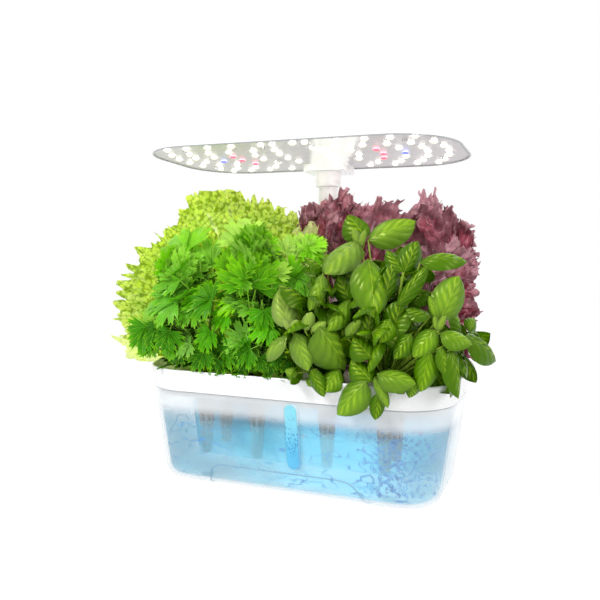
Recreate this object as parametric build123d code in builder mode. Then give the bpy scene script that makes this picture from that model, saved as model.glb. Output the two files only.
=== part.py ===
from build123d import *
import os
from math import atan2, cos, pi, radians, sin, tan

os.makedirs("parts", exist_ok=True)

# Indoor herb planter: a frosted tank, a white deck with ten pods, and a lamp on a pole.
# All sizes are in millimetres. The origin is the centre of the tank's flat underside,
# +X runs along the tank, +Z is up, and the front with the level window faces -Y.

# Tapered tub that the tank and the deck's band share
base_half_length = 170.3
base_half_depth = 74.5
base_corner_radius = 40.5
base_edge_radius = 16.5
rim_half_length = 190.0
rim_half_depth = 93.9
rim_corner_radius = 64.0
rim_height = 138.6
band_height = 26.1
overrun = 5.0

# Tank
tank_wall = 2.5
tank_floor = 3.0
seam_chamfer = 0.6
window_x = 14.7
window_width = 14.0
window_low = 33.6
window_top_drop = 3.6
window_clearance = 0.2
window_proud = 0.5
window_flange = 3.0
window_flange_thickness = 1.4
grip_depth = 0.7
grip_height = 27.0
grip_left_foot = 97.0
grip_left_top = 91.0
grip_right_top = 82.0
grip_right_foot = 106.0
grip_left_radius = 17.0
grip_right_radius = 24.0
grip_drop = 12.0
pad_x = 115.0
pad_y = 42.0
pad_radius = 8.0
pad_thickness = 1.0
pad_clearance = 0.2

# Deck
deck_wall = 2.6
deck_plate_rise = 17.5
deck_plate_thickness = 3.0
ledge_height = 3.0
skirt_clearance = 0.6
skirt_thickness = 2.0
skirt_drop = 6.5
rim_fillet = 1.6
rim_inner_fillet = 0.8
rim_steps = 4

# Pods: a basket, a sponge and a plant each
pod_outer_x = 112.0
pod_inner_x = 44.0
pod_y = 50.0
basket_tip_height = 32.0
basket_tip_radius = 6.0
basket_top_radius = 13.2
basket_wall = 1.3
basket_floor = 2.0
basket_flange_radius = 17.0
basket_flange_thickness = 2.0
basket_clearance = 0.4
slot_count = 8
slot_angle = 28.0
slot_low = 38.0
slot_split_low = 68.0
slot_split_high = 71.0
slot_top_drop = 26.0
sponge_tip_radius = 3.5
sponge_waist_radius = 6.4
sponge_waist_drop = 20.0
sponge_neck_drop = 12.0
sponge_clearance = 0.3
sponge_top_drop = 0.5

# Fill port and its cap
port_radius = 16.0
cap_clearance = 0.3
cap_flange_lip = 3.0
cap_flange_thickness = 2.5
cap_plug_depth = 6.0
cap_plug_wall = 2.0
cap_grip_length = 24.0
cap_grip_width = 5.0
cap_grip_height = 7.0
cap_grip_fillet = 2.0

# Pole: a lower tube in its socket, an upper tube that slides in it, and a collar
pole_y = 74.0
upper_tube_radius = 12.5
upper_tube_wall = 1.5
tube_clearance = 0.1
lower_tube_wall = 1.6
lower_tube_length = 129.0
tube_overlap = 67.0
pole_reach = 96.0
ring_wall = 2.7
ring_height = 14.0
ring_lip = 2.0
ring_fillet = 1.5
socket_pod_gap = 0.4
socket_front = 18.5
socket_height = 22.0
socket_floor = 3.0
socket_corner_radius = 7.0
socket_fillet = 1.5
socket_wall_gap = 0.3
socket_screw_inset = 6.0
socket_screw_spacing = 23.0
collar_wall = 3.9
collar_seat_height = 14.0
collar_fillet = 1.2
grommet_height = 5.0

# Lead from the deck to the lamp
lead_radius = 1.4
lead_core_radius = 1.3
lead_clearance = 0.1
coil_radius = 8.0
coil_turns = 9
coil_rise = 7.0
coil_head_gap = 7.0
lead_hole_gap = 1.1
lead_way_gap = 0.5
lead_bend_radius = 3.0

# Wiring board and power inlet under the deck
wiring_half_length = 24.0
wiring_depth = 16.0
wiring_thickness = 1.6
wiring_drop = 4.4
wiring_post_x = 19.0
wiring_post_radius = 3.0
jack_x = 62.0
jack_rise = 7.5
jack_radius = 5.0
jack_clearance = 0.2
jack_bore_radius = 2.8
jack_bore_depth = 9.0
jack_pin_radius = 0.8
jack_flange_radius = 6.6
jack_flange_thickness = 1.2
jack_body_half_width = 4.8
jack_body_length = 13.0

# Pump, hung under the deck on its riser pipe
pump_back_gap = 9.5
pump_half_length = 20.0
pump_half_depth = 17.0
pump_low = 10.0
pump_high = 44.0
pump_fillet = 2.0
chamber_radius = 10.5
chamber_depth = 12.0
cover_thickness = 3.0
cover_slot_width = 2.0
cover_slot_height = 15.0
cover_slot_pitch = 4.2
shaft_radius = 1.5
shaft_clearance = 0.05
shaft_seat = 4.0
shaft_cover_seat = 1.8
rotor_hub_radius = 4.2
rotor_reach = 9.4
rotor_vane_thickness = 1.6
rotor_vane_count = 6
rotor_gap = 0.5
boss_radius = 7.5
boss_height = 8.0
riser_radius = 5.0
riser_bore_radius = 3.2
riser_clearance = 0.1
riser_outlet_radius = 2.0
riser_outlet_height = 100.0
pump_screw_inset = 4.0
pump_lead_setback = 10.0
pump_lead_radius = 1.5
pump_lead_bend_radius = 8.0
pump_lead_step = 20.0

# Small screws
screw_radius = 1.4
screw_hole_clearance = 0.3
screw_bite_clearance = 0.05
screw_head_radius = 2.6
screw_head_height = 1.8
screw_length = 9.0

# Lamp, in its own tilted plane: rim at zero, board and LEDs facing down
lamp_pole_reach = 70.6
lamp_rise = 30.3
lamp_tilt = 3.3
lamp_half_length = 186.0
lamp_half_depth = 100.0
lamp_corner_radius = 71.7
lamp_rim = 2.0
lamp_height = 12.0
lamp_slope_inset = 30.0
lamp_roof = 1.9
lamp_rim_wall = 2.5
lamp_ledge = 5.0
board_recess = 1.0
board_thickness = 1.6
board_clearance = 0.3
led_radius = 3.6
led_height = 2.0
led_fillet = 1.4
led_column_shares = (0.1559, 0.3333, 0.4919, 0.629, 0.7661, 0.8952)
led_bow_shares = (0.0914, 0.1935, 0.1559, 0.129, 0.1183, 0.1075)
led_row_shares = (-0.79, -0.48, -0.22, 0.05, 0.31, 0.6, 0.79)
led_bow_middle_share = -0.05
led_bow_reach_share = 0.74
red_column = 2
red_rows = (2, 3, 4)
blue_column = 3
blue_rows = (3,)
board_boss_x_shares = (0.7097, 0.1613, 0.2527, 0.8065)
board_boss_y_shares = (-0.64, -0.64, 0.18, 0.45)
board_boss_radius = 3.5
plate_length = 58.0
plate_depth = 46.0
plate_shift = 3.4
plate_thickness = 9.0
plate_corner_radius = 8.0
plate_fillet = 1.0
plate_screw_x = 20.0
plate_screw_y = 8.0
led_plate_gap = 3.0
control_half_length = 28.0
control_depth = 28.0
control_y = 34.0
control_lift = 1.8
control_thickness = 1.2
control_post_radius = 2.5
switch_half_width = 3.0
switch_height = 2.0
button_x = 14.0
button_radius = 5.5
button_clearance = 0.2
button_proud = 1.2
button_dish = 0.4
button_flange = 1.5
button_flange_thickness = 1.1
button_roof_gap = 0.3

# Plants: how far the leaves reach, and the gap between neighbouring plants
leaf_gap = 0.6
leaf_rest = 3.0
leaf_touch = 0.05
left_reach = 280.0
right_reach = 231.0
back_reach = 104.0
parsley_front = 104.0
basil_front = 118.0
parsley_left_reach = 215.0
middle_right_reach = 190.0
red_right_reach = 195.0
pole_side = 21.0
pole_clearance = 3.0
stem_radius = 4.0
parsley_heights = (146.0, 170.0)
green_heights = (165.0, 216.0, 204.0)
basil_heights = (180.0, 156.0, 182.0)
red_heights = (214.0, 206.0)
parsley_lean_shares = (0.35, 0.0)
green_lean_shares = (0.3, 0.45, 0.1)
basil_lean_shares = (0.1, 0.3, 0.2)
red_lean_shares = (0.0, 0.2)
parsley_lobes = 12
lettuce_lobes = 16
basil_lobes = 8
parsley_lobe_share = 0.12
lettuce_lobe_share = 0.07
basil_lobe_share = 0.1
foliage_power_share = 0.56
foliage_turn_share = 0.5
hanging_leaf_thickness = 2.5
hanging_leaf_setback = 14.0
hanging_leaf_lean = 12.0
hanging_leaf_x = (20.0, 46.0, 150.0)
hanging_leaf_rise = (-6.0, -9.0, 8.0)
hanging_leaf_half_length = (23.0, 22.0, 24.0)
hanging_leaf_half_width = (17.0, 10.0, 14.0)
hanging_leaf_roll = (-28.0, 8.0, 24.0)

# Values that follow from the sizes above
parting_height = rim_height - band_height
window_high = parting_height - window_top_drop
deck_plate_top = parting_height + deck_plate_rise
slot_high = deck_plate_top - slot_top_drop
sponge_waist_height = deck_plate_top - sponge_waist_drop
sponge_neck_height = deck_plate_top - sponge_neck_drop
cap_flange_radius = port_radius + cap_flange_lip
wall_lean = atan2(rim_half_depth - base_half_depth, rim_height)
front_wall = Plane(
    origin=(0, -base_half_depth, 0),
    x_dir=(1, 0, 0),
    z_dir=(0, -cos(wall_lean), -sin(wall_lean)),
)
back_wall = Plane(
    origin=(0, base_half_depth, 0),
    x_dir=(-1, 0, 0),
    z_dir=(0, cos(wall_lean), -sin(wall_lean)),
)
deck_plate_bottom = deck_plate_top - deck_plate_thickness
jack_place = (-jack_x, (parting_height + jack_rise) / cos(wall_lean))
skirt_inset = tank_wall + window_flange_thickness + skirt_clearance
ledge_inset = skirt_inset + skirt_thickness
skirt_bottom = parting_height - skirt_drop
lower_tube_bore = upper_tube_radius + tube_clearance
lower_tube_radius = lower_tube_bore + lower_tube_wall
socket_bore = lower_tube_radius + tube_clearance
socket_top = deck_plate_top + socket_height
socket_half_length = pod_inner_x - basket_flange_radius - socket_pod_gap
socket_screw_x = socket_half_length - socket_screw_inset
lower_tube_bottom = deck_plate_top + socket_floor
lower_tube_top = lower_tube_bottom + lower_tube_length
upper_tube_bottom = lower_tube_top - tube_overlap
ring_radius = lower_tube_radius + tube_clearance + ring_wall
coil_low = deck_plate_top + coil_rise
coil_high = upper_tube_bottom - coil_head_gap
lead_hole_radius = coil_radius + lead_radius + lead_hole_gap
lead_way_radius = coil_radius + lead_radius + lead_way_gap
collar_radius = upper_tube_radius + tube_clearance + collar_wall
collar_bottom = lower_tube_top + pole_reach
collar_seat = collar_bottom + collar_seat_height
lamp_y = pole_y - lamp_pole_reach
lamp_z = collar_bottom + lamp_rise
plate_y = lamp_pole_reach + plate_shift
tilt = radians(lamp_tilt)
lamp_plane = Plane(origin=(0, lamp_y, lamp_z), x_dir=(1, 0, 0), z_dir=(0, sin(tilt), cos(tilt)))
board_top = board_recess + board_thickness
board_underface = Plane(
    origin=lamp_plane.offset(board_recess).origin,
    x_dir=(1, 0, 0),
    z_dir=-lamp_plane.z_dir,
)
lamp_slope = lamp_slope_inset / (lamp_height - lamp_rim)
roof_bottom = lamp_height - lamp_roof
plate_bottom = board_recess - plate_thickness
pump_y = base_half_depth - pump_back_gap - pump_half_depth
pump_front = pump_y - pump_half_depth
chamber_back = pump_front + chamber_depth
riser_y = pump_front + chamber_depth / 2
pump_middle = (pump_low + pump_high) / 2
screw_hole = screw_radius + screw_hole_clearance
screw_bite = screw_radius + screw_bite_clearance
pod_places = (
    (-pod_outer_x, -pod_y),
    (-pod_inner_x, -pod_y),
    (-pod_outer_x, 0),
    (-pod_outer_x, pod_y),
    (-pod_inner_x, pod_y),
    (pod_inner_x, -pod_y),
    (pod_outer_x, -pod_y),
    (pod_outer_x, 0),
    (pod_inner_x, pod_y),
    (pod_outer_x, pod_y),
)
socket_back = rim_half_depth - deck_wall - socket_wall_gap - (
    (rim_height - deck_plate_top) * tan(wall_lean)
)
socket_screw_places = [
    (side * socket_screw_x, pole_y + end * socket_screw_spacing / 2)
    for side in (-1, 1)
    for end in (-1, 1)
]
wiring_screw_places = [(-wiring_post_x, pole_y), (wiring_post_x, pole_y)]


def tub_half_depth(height):
    """Half the depth of the tapered tub at one height."""
    return base_half_depth + (rim_half_depth - base_half_depth) * height / rim_height


def tub_face(height, inset):
    """The tub's outline at one height, drawn in by inset."""
    share = height / rim_height
    half_length = base_half_length + share * (rim_half_length - base_half_length) - inset
    half_depth = tub_half_depth(height) - inset
    corner = base_corner_radius + share * (rim_corner_radius - base_corner_radius) - inset
    with BuildSketch(Plane.XY.offset(height)) as face:
        RectangleRounded(2 * half_length, 2 * half_depth, corner)
    return face.sketch


def tub_stack(*levels):
    """A solid through the tub's outlines at several (height, inset) levels."""
    with BuildPart() as tub:
        loft(sections=[tub_face(height, inset) for height, inset in levels], ruled=True)
    return tub.part


def tub_bowl(low, high, inset, edge_radius):
    """A solid slice of the tub between two heights, with its bottom edge rounded."""
    with BuildPart() as tub:
        loft(sections=[tub_face(low, inset), tub_face(high, inset)], ruled=True)
        fillet(tub.edges().group_by(Axis.Z)[0], radius=edge_radius)
    return tub.part


def rim_levels(radius, inset):
    """Levels that round the rim's edge over from an inset wall, outwards for a positive radius."""
    levels = []
    for step in range(rim_steps + 1):
        angle = pi / 2 * step / rim_steps
        levels.append((rim_height - abs(radius) * (1 - sin(angle)), inset + radius * (1 - cos(angle))))
    return levels


def lamp_face(height, inset):
    """The lamp's outline at one height above its rim, drawn in by inset."""
    with BuildSketch(lamp_plane.offset(height)) as face:
        RectangleRounded(
            2 * (lamp_half_length - inset),
            2 * (lamp_half_depth - inset),
            lamp_corner_radius - inset,
        )
    return face.sketch


def screws(places, plane):
    """Pan-head screws that hang from a plane, heads out along its normal."""
    with BuildPart() as group:
        with BuildSketch(plane):
            with Locations(*places):
                Circle(screw_head_radius)
        extrude(amount=screw_head_height)
        with BuildSketch(plane):
            with Locations(*places):
                Circle(screw_radius)
        extrude(amount=-screw_length)
    return group.part


def finish(piece, name):
    """Label one piece and write it out."""
    piece.part.label = name
    export_step(piece.part, f"parts/{name}.step")


# Tank: a thin tapered tub with a slot for the level window and a recess round its front foot
with BuildPart() as grip_recess:
    with BuildSketch(front_wall) as grip_outline:
        with BuildLine():
            Polyline(
                (-grip_left_foot, -grip_drop),
                (-grip_left_top, grip_height),
                (grip_right_top, grip_height),
                (grip_right_foot, -grip_drop),
                close=True,
            )
        make_face()
        top_corners = grip_outline.vertices().group_by(Axis.Y)[-1].sort_by(Axis.X)
        fillet(top_corners[0], radius=grip_left_radius)
        top_corners = grip_outline.vertices().group_by(Axis.Y)[-1].sort_by(Axis.X)
        fillet(top_corners[-1], radius=grip_right_radius)
    extrude(amount=overrun)
    extrude(grip_outline.sketch, amount=-base_edge_radius)
    add(
        tub_bowl(grip_depth, parting_height, grip_depth, base_edge_radius - grip_depth),
        mode=Mode.SUBTRACT,
    )

with BuildPart() as water_tank:
    add(tub_bowl(0, parting_height - seam_chamfer, 0, base_edge_radius))
    add(tub_stack((parting_height - seam_chamfer, 0), (parting_height, seam_chamfer)))
    add(
        tub_bowl(tank_floor, parting_height + overrun, tank_wall, base_edge_radius - tank_wall),
        mode=Mode.SUBTRACT,
    )
    add(grip_recess.part, mode=Mode.SUBTRACT)
    with BuildSketch(front_wall):
        with Locations((window_x, (window_low + window_high) / 2 / cos(wall_lean))):
            SlotOverall(
                window_high - window_low + 2 * window_clearance,
                window_width + 2 * window_clearance,
                rotation=90,
            )
    extrude(amount=-(tank_wall + overrun), both=True, mode=Mode.SUBTRACT)
    with BuildSketch():
        with GridLocations(2 * pad_x, 2 * pad_y, 2, 2):
            Circle(pad_radius + pad_clearance)
    extrude(amount=pad_thickness, mode=Mode.SUBTRACT)
finish(water_tank, "water_tank")

with BuildPart() as level_window:
    inner_wall = front_wall.offset(-tank_wall * cos(wall_lean))
    window_place = (window_x, (window_low + window_high) / 2 / cos(wall_lean))
    with BuildSketch(inner_wall):
        with Locations(window_place):
            SlotOverall(window_high - window_low, window_width, rotation=90)
    extrude(amount=tank_wall * cos(wall_lean) + window_proud)
    with BuildSketch(inner_wall):
        with Locations(window_place):
            SlotOverall(
                window_high - window_low + 2 * window_flange,
                window_width + 2 * window_flange,
                rotation=90,
            )
    extrude(amount=-window_flange_thickness)
finish(level_window, "level_window")

with BuildPart() as foot_pads:
    with BuildSketch():
        with GridLocations(2 * pad_x, 2 * pad_y, 2, 2):
            Circle(pad_radius)
    extrude(amount=pad_thickness)
finish(foot_pads, "foot_pads")

# Deck: the white band, the plate that the pods hang in, and a skirt inside the tank's rim
with BuildPart() as grow_deck:
    add(
        tub_stack(
            (parting_height, seam_chamfer),
            (parting_height + seam_chamfer, 0),
            *rim_levels(rim_fillet, 0),
        )
    )
    add(tub_stack((skirt_bottom, skirt_inset), (parting_height + seam_chamfer, skirt_inset)))
    add(
        tub_stack((deck_plate_top, deck_wall), *rim_levels(-rim_inner_fillet, deck_wall)),
        mode=Mode.SUBTRACT,
    )
    add(
        tub_stack(
            (skirt_bottom - overrun, ledge_inset),
            (parting_height + ledge_height, ledge_inset),
        ),
        mode=Mode.SUBTRACT,
    )
    add(
        tub_stack((parting_height + ledge_height, deck_wall), (deck_plate_bottom, deck_wall)),
        mode=Mode.SUBTRACT,
    )
    with BuildSketch(Plane.XY.offset(deck_plate_bottom - boss_height)):
        with Locations((0, riser_y)):
            Circle(boss_radius)
    extrude(amount=boss_height)
    with BuildSketch(Plane.XY.offset(deck_plate_bottom - boss_height)):
        with Locations((0, riser_y)):
            Circle(riser_radius + riser_clearance)
    extrude(amount=boss_height, mode=Mode.SUBTRACT)
    with BuildSketch(Plane.XY.offset(deck_plate_bottom - wiring_drop)):
        with Locations(*wiring_screw_places):
            Circle(wiring_post_radius)
    extrude(amount=wiring_drop)
    with BuildSketch(Plane.XY.offset(deck_plate_bottom)):
        with Locations(*pod_places):
            Circle(basket_top_radius + basket_clearance)
        Circle(port_radius)
        with Locations((0, pole_y)):
            Circle(lead_hole_radius)
        with Locations(*socket_screw_places):
            Circle(screw_hole)
    extrude(amount=deck_plate_thickness, mode=Mode.SUBTRACT)
    with BuildSketch(Plane.XY.offset(deck_plate_bottom - wiring_drop)):
        with Locations(*wiring_screw_places):
            Circle(screw_bite)
    extrude(amount=screw_length - wiring_thickness, mode=Mode.SUBTRACT)
    with BuildSketch(back_wall):
        with Locations(jack_place):
            Circle(jack_radius + jack_clearance)
    extrude(amount=-(deck_wall + overrun), mode=Mode.SUBTRACT)
finish(grow_deck, "grow_deck")

# Fill port cap: a flanged plug with a finger grip across it
with BuildPart() as fill_cap:
    with BuildSketch(Plane.XY.offset(deck_plate_top)):
        Circle(cap_flange_radius)
    extrude(amount=cap_flange_thickness)
    with BuildSketch(Plane.XY.offset(deck_plate_top)):
        Circle(port_radius - cap_clearance)
        Circle(port_radius - cap_clearance - cap_plug_wall, mode=Mode.SUBTRACT)
    extrude(amount=-cap_plug_depth)
    with BuildSketch(Plane.XY.offset(deck_plate_top + cap_flange_thickness)):
        SlotOverall(cap_grip_length, cap_grip_width)
    extrude(amount=cap_grip_height)
    fillet(fill_cap.edges().group_by(Axis.Z)[-1], radius=cap_grip_fillet)
finish(fill_cap, "fill_cap")

# Pole socket: a rounded block behind the pods that holds the lower tube
with BuildPart() as pole_socket:
    with BuildSketch(Plane.XY.offset(deck_plate_top)):
        socket_depth = socket_back - pole_y + socket_front
        with Locations((0, socket_back - socket_depth / 2)):
            RectangleRounded(2 * socket_half_length, socket_depth, socket_corner_radius)
    extrude(amount=socket_height)
    fillet(pole_socket.edges().group_by(Axis.Z)[-1], radius=socket_fillet)
    with BuildSketch(Plane.XY.offset(lower_tube_bottom)):
        with Locations((0, pole_y)):
            Circle(socket_bore)
    extrude(amount=socket_height, mode=Mode.SUBTRACT)
    with BuildSketch(Plane.XY.offset(deck_plate_top)):
        with Locations((0, pole_y)):
            Circle(lead_hole_radius)
    extrude(amount=socket_floor, mode=Mode.SUBTRACT)
    with BuildSketch(Plane.XY.offset(deck_plate_top)):
        with Locations(*socket_screw_places):
            Circle(screw_bite)
    extrude(amount=screw_length, mode=Mode.SUBTRACT)
finish(pole_socket, "pole_socket")

with BuildPart() as deck_screws:
    under_plate = Plane(
        origin=(0, 0, deck_plate_bottom), x_dir=(1, 0, 0), z_dir=(0, 0, -1)
    )
    add(screws([(x, -y) for x, y in socket_screw_places], under_plate))
    under_board = under_plate.offset(wiring_drop + wiring_thickness)
    add(screws([(x, -y) for x, y in wiring_screw_places], under_board))
finish(deck_screws, "deck_screws")

# Wiring board on two posts under the deck, and the power inlet in the back of the band
with BuildPart() as wiring_board:
    with BuildSketch(Plane.XY.offset(deck_plate_bottom - wiring_drop)):
        with Locations((0, pole_y)):
            Rectangle(2 * wiring_half_length, wiring_depth)
        with Locations(*wiring_screw_places):
            Circle(screw_hole, mode=Mode.SUBTRACT)
    extrude(amount=-wiring_thickness)
finish(wiring_board, "wiring_board")

with BuildPart() as power_jack:
    with BuildSketch(back_wall):
        with Locations(jack_place):
            Circle(jack_flange_radius)
    extrude(amount=jack_flange_thickness)
    with BuildSketch(back_wall):
        with Locations(jack_place):
            Circle(jack_radius)
    extrude(amount=-(deck_wall + jack_clearance))
    with BuildSketch(back_wall.offset(-(deck_wall + jack_clearance))):
        with Locations(jack_place):
            Rectangle(2 * jack_body_half_width, 2 * jack_body_half_width)
    extrude(amount=-jack_body_length)
    with BuildSketch(back_wall.offset(jack_flange_thickness)):
        with Locations(jack_place):
            Circle(jack_bore_radius)
            Circle(jack_pin_radius, mode=Mode.SUBTRACT)
    extrude(amount=-jack_bore_depth, mode=Mode.SUBTRACT)
finish(power_jack, "power_jack")

# Pump: housing with its rotor chamber open to the front, cover, shaft, rotor and riser
pump_face = Plane(origin=(0, pump_front, pump_middle), x_dir=(1, 0, 0), z_dir=(0, -1, 0))
pump_screw_places = [
    (side * (pump_half_length - pump_screw_inset), end * (pump_middle - pump_low - pump_screw_inset))
    for side in (-1, 1)
    for end in (-1, 1)
]
with BuildPart() as pump_housing:
    with BuildSketch(Plane.XY.offset(pump_low)):
        with Locations((0, pump_y)):
            Rectangle(2 * pump_half_length, 2 * pump_half_depth)
    extrude(amount=pump_high - pump_low)
    fillet(pump_housing.edges().filter_by(Axis.Y), radius=pump_fillet)
    with BuildSketch(Plane.XY.offset(pump_high)):
        with Locations((0, riser_y)):
            Circle(boss_radius)
    extrude(amount=boss_height)
    with BuildSketch(Plane.XY.offset(pump_high)):
        with Locations((0, riser_y)):
            Circle(riser_radius + riser_clearance)
    extrude(amount=boss_height, mode=Mode.SUBTRACT)
    with BuildSketch(Plane.XY.offset(pump_middle)):
        with Locations((0, riser_y)):
            Circle(riser_bore_radius)
    extrude(amount=pump_high - pump_middle, mode=Mode.SUBTRACT)
    with BuildSketch(pump_face):
        Circle(chamber_radius)
    extrude(amount=-chamber_depth, mode=Mode.SUBTRACT)
    with BuildSketch(pump_face):
        Circle(shaft_radius + shaft_clearance)
        with Locations(*pump_screw_places):
            Circle(screw_bite)
    extrude(amount=-(chamber_depth + shaft_seat), mode=Mode.SUBTRACT)
finish(pump_housing, "pump_housing")

with BuildPart() as pump_cover:
    with BuildSketch(pump_face):
        RectangleRounded(2 * pump_half_length, pump_high - pump_low, pump_fillet)
        with Locations(*[(side * step * cover_slot_pitch, 0) for side in (-1, 1) for step in (1, 2)]):
            SlotOverall(cover_slot_height, cover_slot_width, rotation=90, mode=Mode.SUBTRACT)
        with Locations(*pump_screw_places):
            Circle(screw_hole, mode=Mode.SUBTRACT)
    extrude(amount=cover_thickness)
    with BuildSketch(pump_face):
        Circle(shaft_radius + shaft_clearance)
    extrude(amount=shaft_cover_seat, mode=Mode.SUBTRACT)
finish(pump_cover, "pump_cover")

with BuildPart() as pump_screws:
    add(screws(pump_screw_places, pump_face.offset(cover_thickness)))
finish(pump_screws, "pump_screws")

with BuildPart() as pump_shaft:
    with BuildSketch(pump_face.offset(shaft_cover_seat)):
        Circle(shaft_radius)
    extrude(amount=-(shaft_cover_seat + chamber_depth + shaft_seat))
finish(pump_shaft, "pump_shaft")

with BuildPart() as pump_rotor:
    with BuildSketch(pump_face.offset(-rotor_gap)):
        with PolarLocations(0, rotor_vane_count):
            with Locations((rotor_reach / 2, 0)):
                Rectangle(rotor_reach, rotor_vane_thickness)
        Circle(rotor_hub_radius)
        Circle(shaft_radius + shaft_clearance, mode=Mode.SUBTRACT)
    extrude(amount=-(chamber_depth - 2 * rotor_gap))
finish(pump_rotor, "pump_rotor")

with BuildPart() as pump_riser:
    with BuildSketch(Plane.XY.offset(pump_high)):
        with Locations((0, riser_y)):
            Circle(riser_radius)
            Circle(riser_bore_radius, mode=Mode.SUBTRACT)
    extrude(amount=deck_plate_bottom - pump_high)
    with BuildSketch(Plane.XZ.offset(-riser_y)):
        with Locations((0, riser_outlet_height)):
            Circle(riser_outlet_radius)
    extrude(amount=riser_radius + overrun, mode=Mode.SUBTRACT)
finish(pump_riser, "pump_riser")

with BuildPart() as pump_lead:
    lead_low_y = pump_y + pump_lead_setback
    board_underside = deck_plate_bottom - wiring_drop - wiring_thickness
    lead_points = [
        (0, lead_low_y, pump_high),
        (0, lead_low_y, pump_high + pump_lead_step),
        (0, pole_y, board_underside - pump_lead_step),
        (0, pole_y, board_underside),
    ]
    with BuildLine() as lead_path:
        FilletPolyline(*lead_points, radius=pump_lead_bend_radius)
    with BuildSketch(Plane.XY.offset(pump_high)):
        with Locations((0, lead_low_y)):
            Circle(pump_lead_radius)
    sweep(path=lead_path.line)
finish(pump_lead, "pump_lead")

# Pod basket: a slotted cone under a flange, drawn once at the origin
with BuildPart() as basket_form:
    with BuildSketch(Plane.XZ):
        with BuildLine():
            Polyline(
                (0, basket_tip_height),
                (basket_tip_radius, basket_tip_height),
                (basket_top_radius, deck_plate_top),
                (basket_flange_radius, deck_plate_top),
                (basket_flange_radius, deck_plate_top + basket_flange_thickness),
                (basket_top_radius - basket_wall, deck_plate_top + basket_flange_thickness),
                (basket_tip_radius - basket_wall, basket_tip_height + basket_floor),
                (0, basket_tip_height + basket_floor),
                close=True,
            )
        make_face()
    revolve(axis=Axis.Z)
    half_slot = radians(slot_angle) / 2
    slot_reach = basket_flange_radius
    for low, high in ((slot_low, slot_split_low), (slot_split_high, slot_high)):
        with BuildSketch(Plane.XY.offset(low)):
            with PolarLocations(0, slot_count):
                Polygon(
                    (0, 0),
                    (slot_reach * cos(half_slot), -slot_reach * sin(half_slot)),
                    (slot_reach * cos(half_slot), slot_reach * sin(half_slot)),
                    align=None,
                )
        extrude(amount=high - low, mode=Mode.SUBTRACT)

for index, place in enumerate(pod_places, start=1):
    with BuildPart() as pod_basket:
        with Locations(place):
            add(basket_form.part)
    finish(pod_basket, f"pod_basket_{index}")

# Grow sponge: a tapered core that flares out to the basket's mouth
def basket_bore(height):
    """Radius of a basket's inside at one height."""
    floor_height = basket_tip_height + basket_floor
    share = (height - floor_height) / (deck_plate_top + basket_flange_thickness - floor_height)
    return basket_tip_radius - basket_wall + share * (basket_top_radius - basket_tip_radius)


with BuildPart() as sponge_form:
    sponge_neck_radius = basket_bore(sponge_neck_height) - sponge_clearance
    with BuildSketch(Plane.XZ):
        with BuildLine():
            Polyline(
                (0, basket_tip_height + basket_floor),
                (sponge_tip_radius, basket_tip_height + basket_floor),
                (sponge_waist_radius, sponge_waist_height),
                (sponge_neck_radius, sponge_neck_height),
                (sponge_neck_radius, deck_plate_top - sponge_top_drop),
                (0, deck_plate_top - sponge_top_drop),
                close=True,
            )
        make_face()
    revolve(axis=Axis.Z)

with BuildPart() as grow_sponges:
    with Locations(*pod_places):
        add(sponge_form.part)
finish(grow_sponges, "grow_sponges")

# Plants: a leafy crown over each pod, wider above the rim than at its foot.
# Each level is (height share, x share, y share) of the crown, from its foot to its top.
parsley_level_shares = (
    (0, 0.66, 0.76),
    (0.1, 0.96, 0.96),
    (0.34, 1.0, 1.0),
    (0.6, 0.96, 0.97),
    (0.8, 0.8, 0.86),
    (0.93, 0.56, 0.66),
    (1.0, 0.28, 0.38),
)
lettuce_level_shares = (
    (0, 0.56, 0.78),
    (0.12, 0.94, 0.97),
    (0.36, 1.0, 1.0),
    (0.62, 0.97, 0.98),
    (0.82, 0.84, 0.9),
    (0.94, 0.62, 0.72),
    (1.0, 0.36, 0.46),
)
basil_level_shares = (
    (0, 0.7, 0.82),
    (0.1, 1.0, 0.98),
    (0.34, 1.0, 1.0),
    (0.6, 0.93, 0.95),
    (0.8, 0.76, 0.82),
    (0.93, 0.52, 0.6),
    (1.0, 0.26, 0.34),
)
foot_pull_share = 1.0
parsley_look = (parsley_level_shares, parsley_lobes, parsley_lobe_share)
lettuce_look = (lettuce_level_shares, lettuce_lobes, lettuce_lobe_share)
basil_look = (basil_level_shares, basil_lobes, basil_lobe_share)
column_split = (pod_outer_x + pod_inner_x) / 2
row_split = pod_y / 2
behind_limit = pole_y - ring_radius - pole_clearance
crown_foot = rim_height + leaf_rest
plants = (
    ("parsley_1", 0, parsley_look, (-parsley_left_reach, -column_split),
     (-parsley_front, -row_split), parsley_heights[0], parsley_lean_shares[0]),
    ("parsley_2", 1, parsley_look, (-column_split, 0),
     (-parsley_front, -row_split), parsley_heights[1], parsley_lean_shares[1]),
    ("green_lettuce_1", 2, lettuce_look, (-left_reach, -column_split),
     (-row_split, row_split), green_heights[0], green_lean_shares[0]),
    ("green_lettuce_2", 3, lettuce_look, (-left_reach, -column_split),
     (row_split, back_reach), green_heights[1], green_lean_shares[1]),
    ("green_lettuce_3", 4, lettuce_look, (-column_split, -pole_side),
     (row_split, back_reach), green_heights[2], green_lean_shares[2]),
    ("basil_1", 5, basil_look, (0, column_split),
     (-basil_front, -row_split), basil_heights[0], basil_lean_shares[0]),
    ("basil_2", 6, basil_look, (column_split, right_reach),
     (-basil_front, -row_split), basil_heights[1], basil_lean_shares[1]),
    ("basil_3", 7, basil_look, (column_split, middle_right_reach),
     (-row_split, row_split), basil_heights[2], basil_lean_shares[2]),
    ("red_lettuce_1", 8, lettuce_look, (-pole_side, column_split),
     (row_split, behind_limit), red_heights[0], red_lean_shares[0]),
    ("red_lettuce_2", 9, lettuce_look, (column_split, red_right_reach),
     (row_split, back_reach), red_heights[1], red_lean_shares[1]),
)


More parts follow.
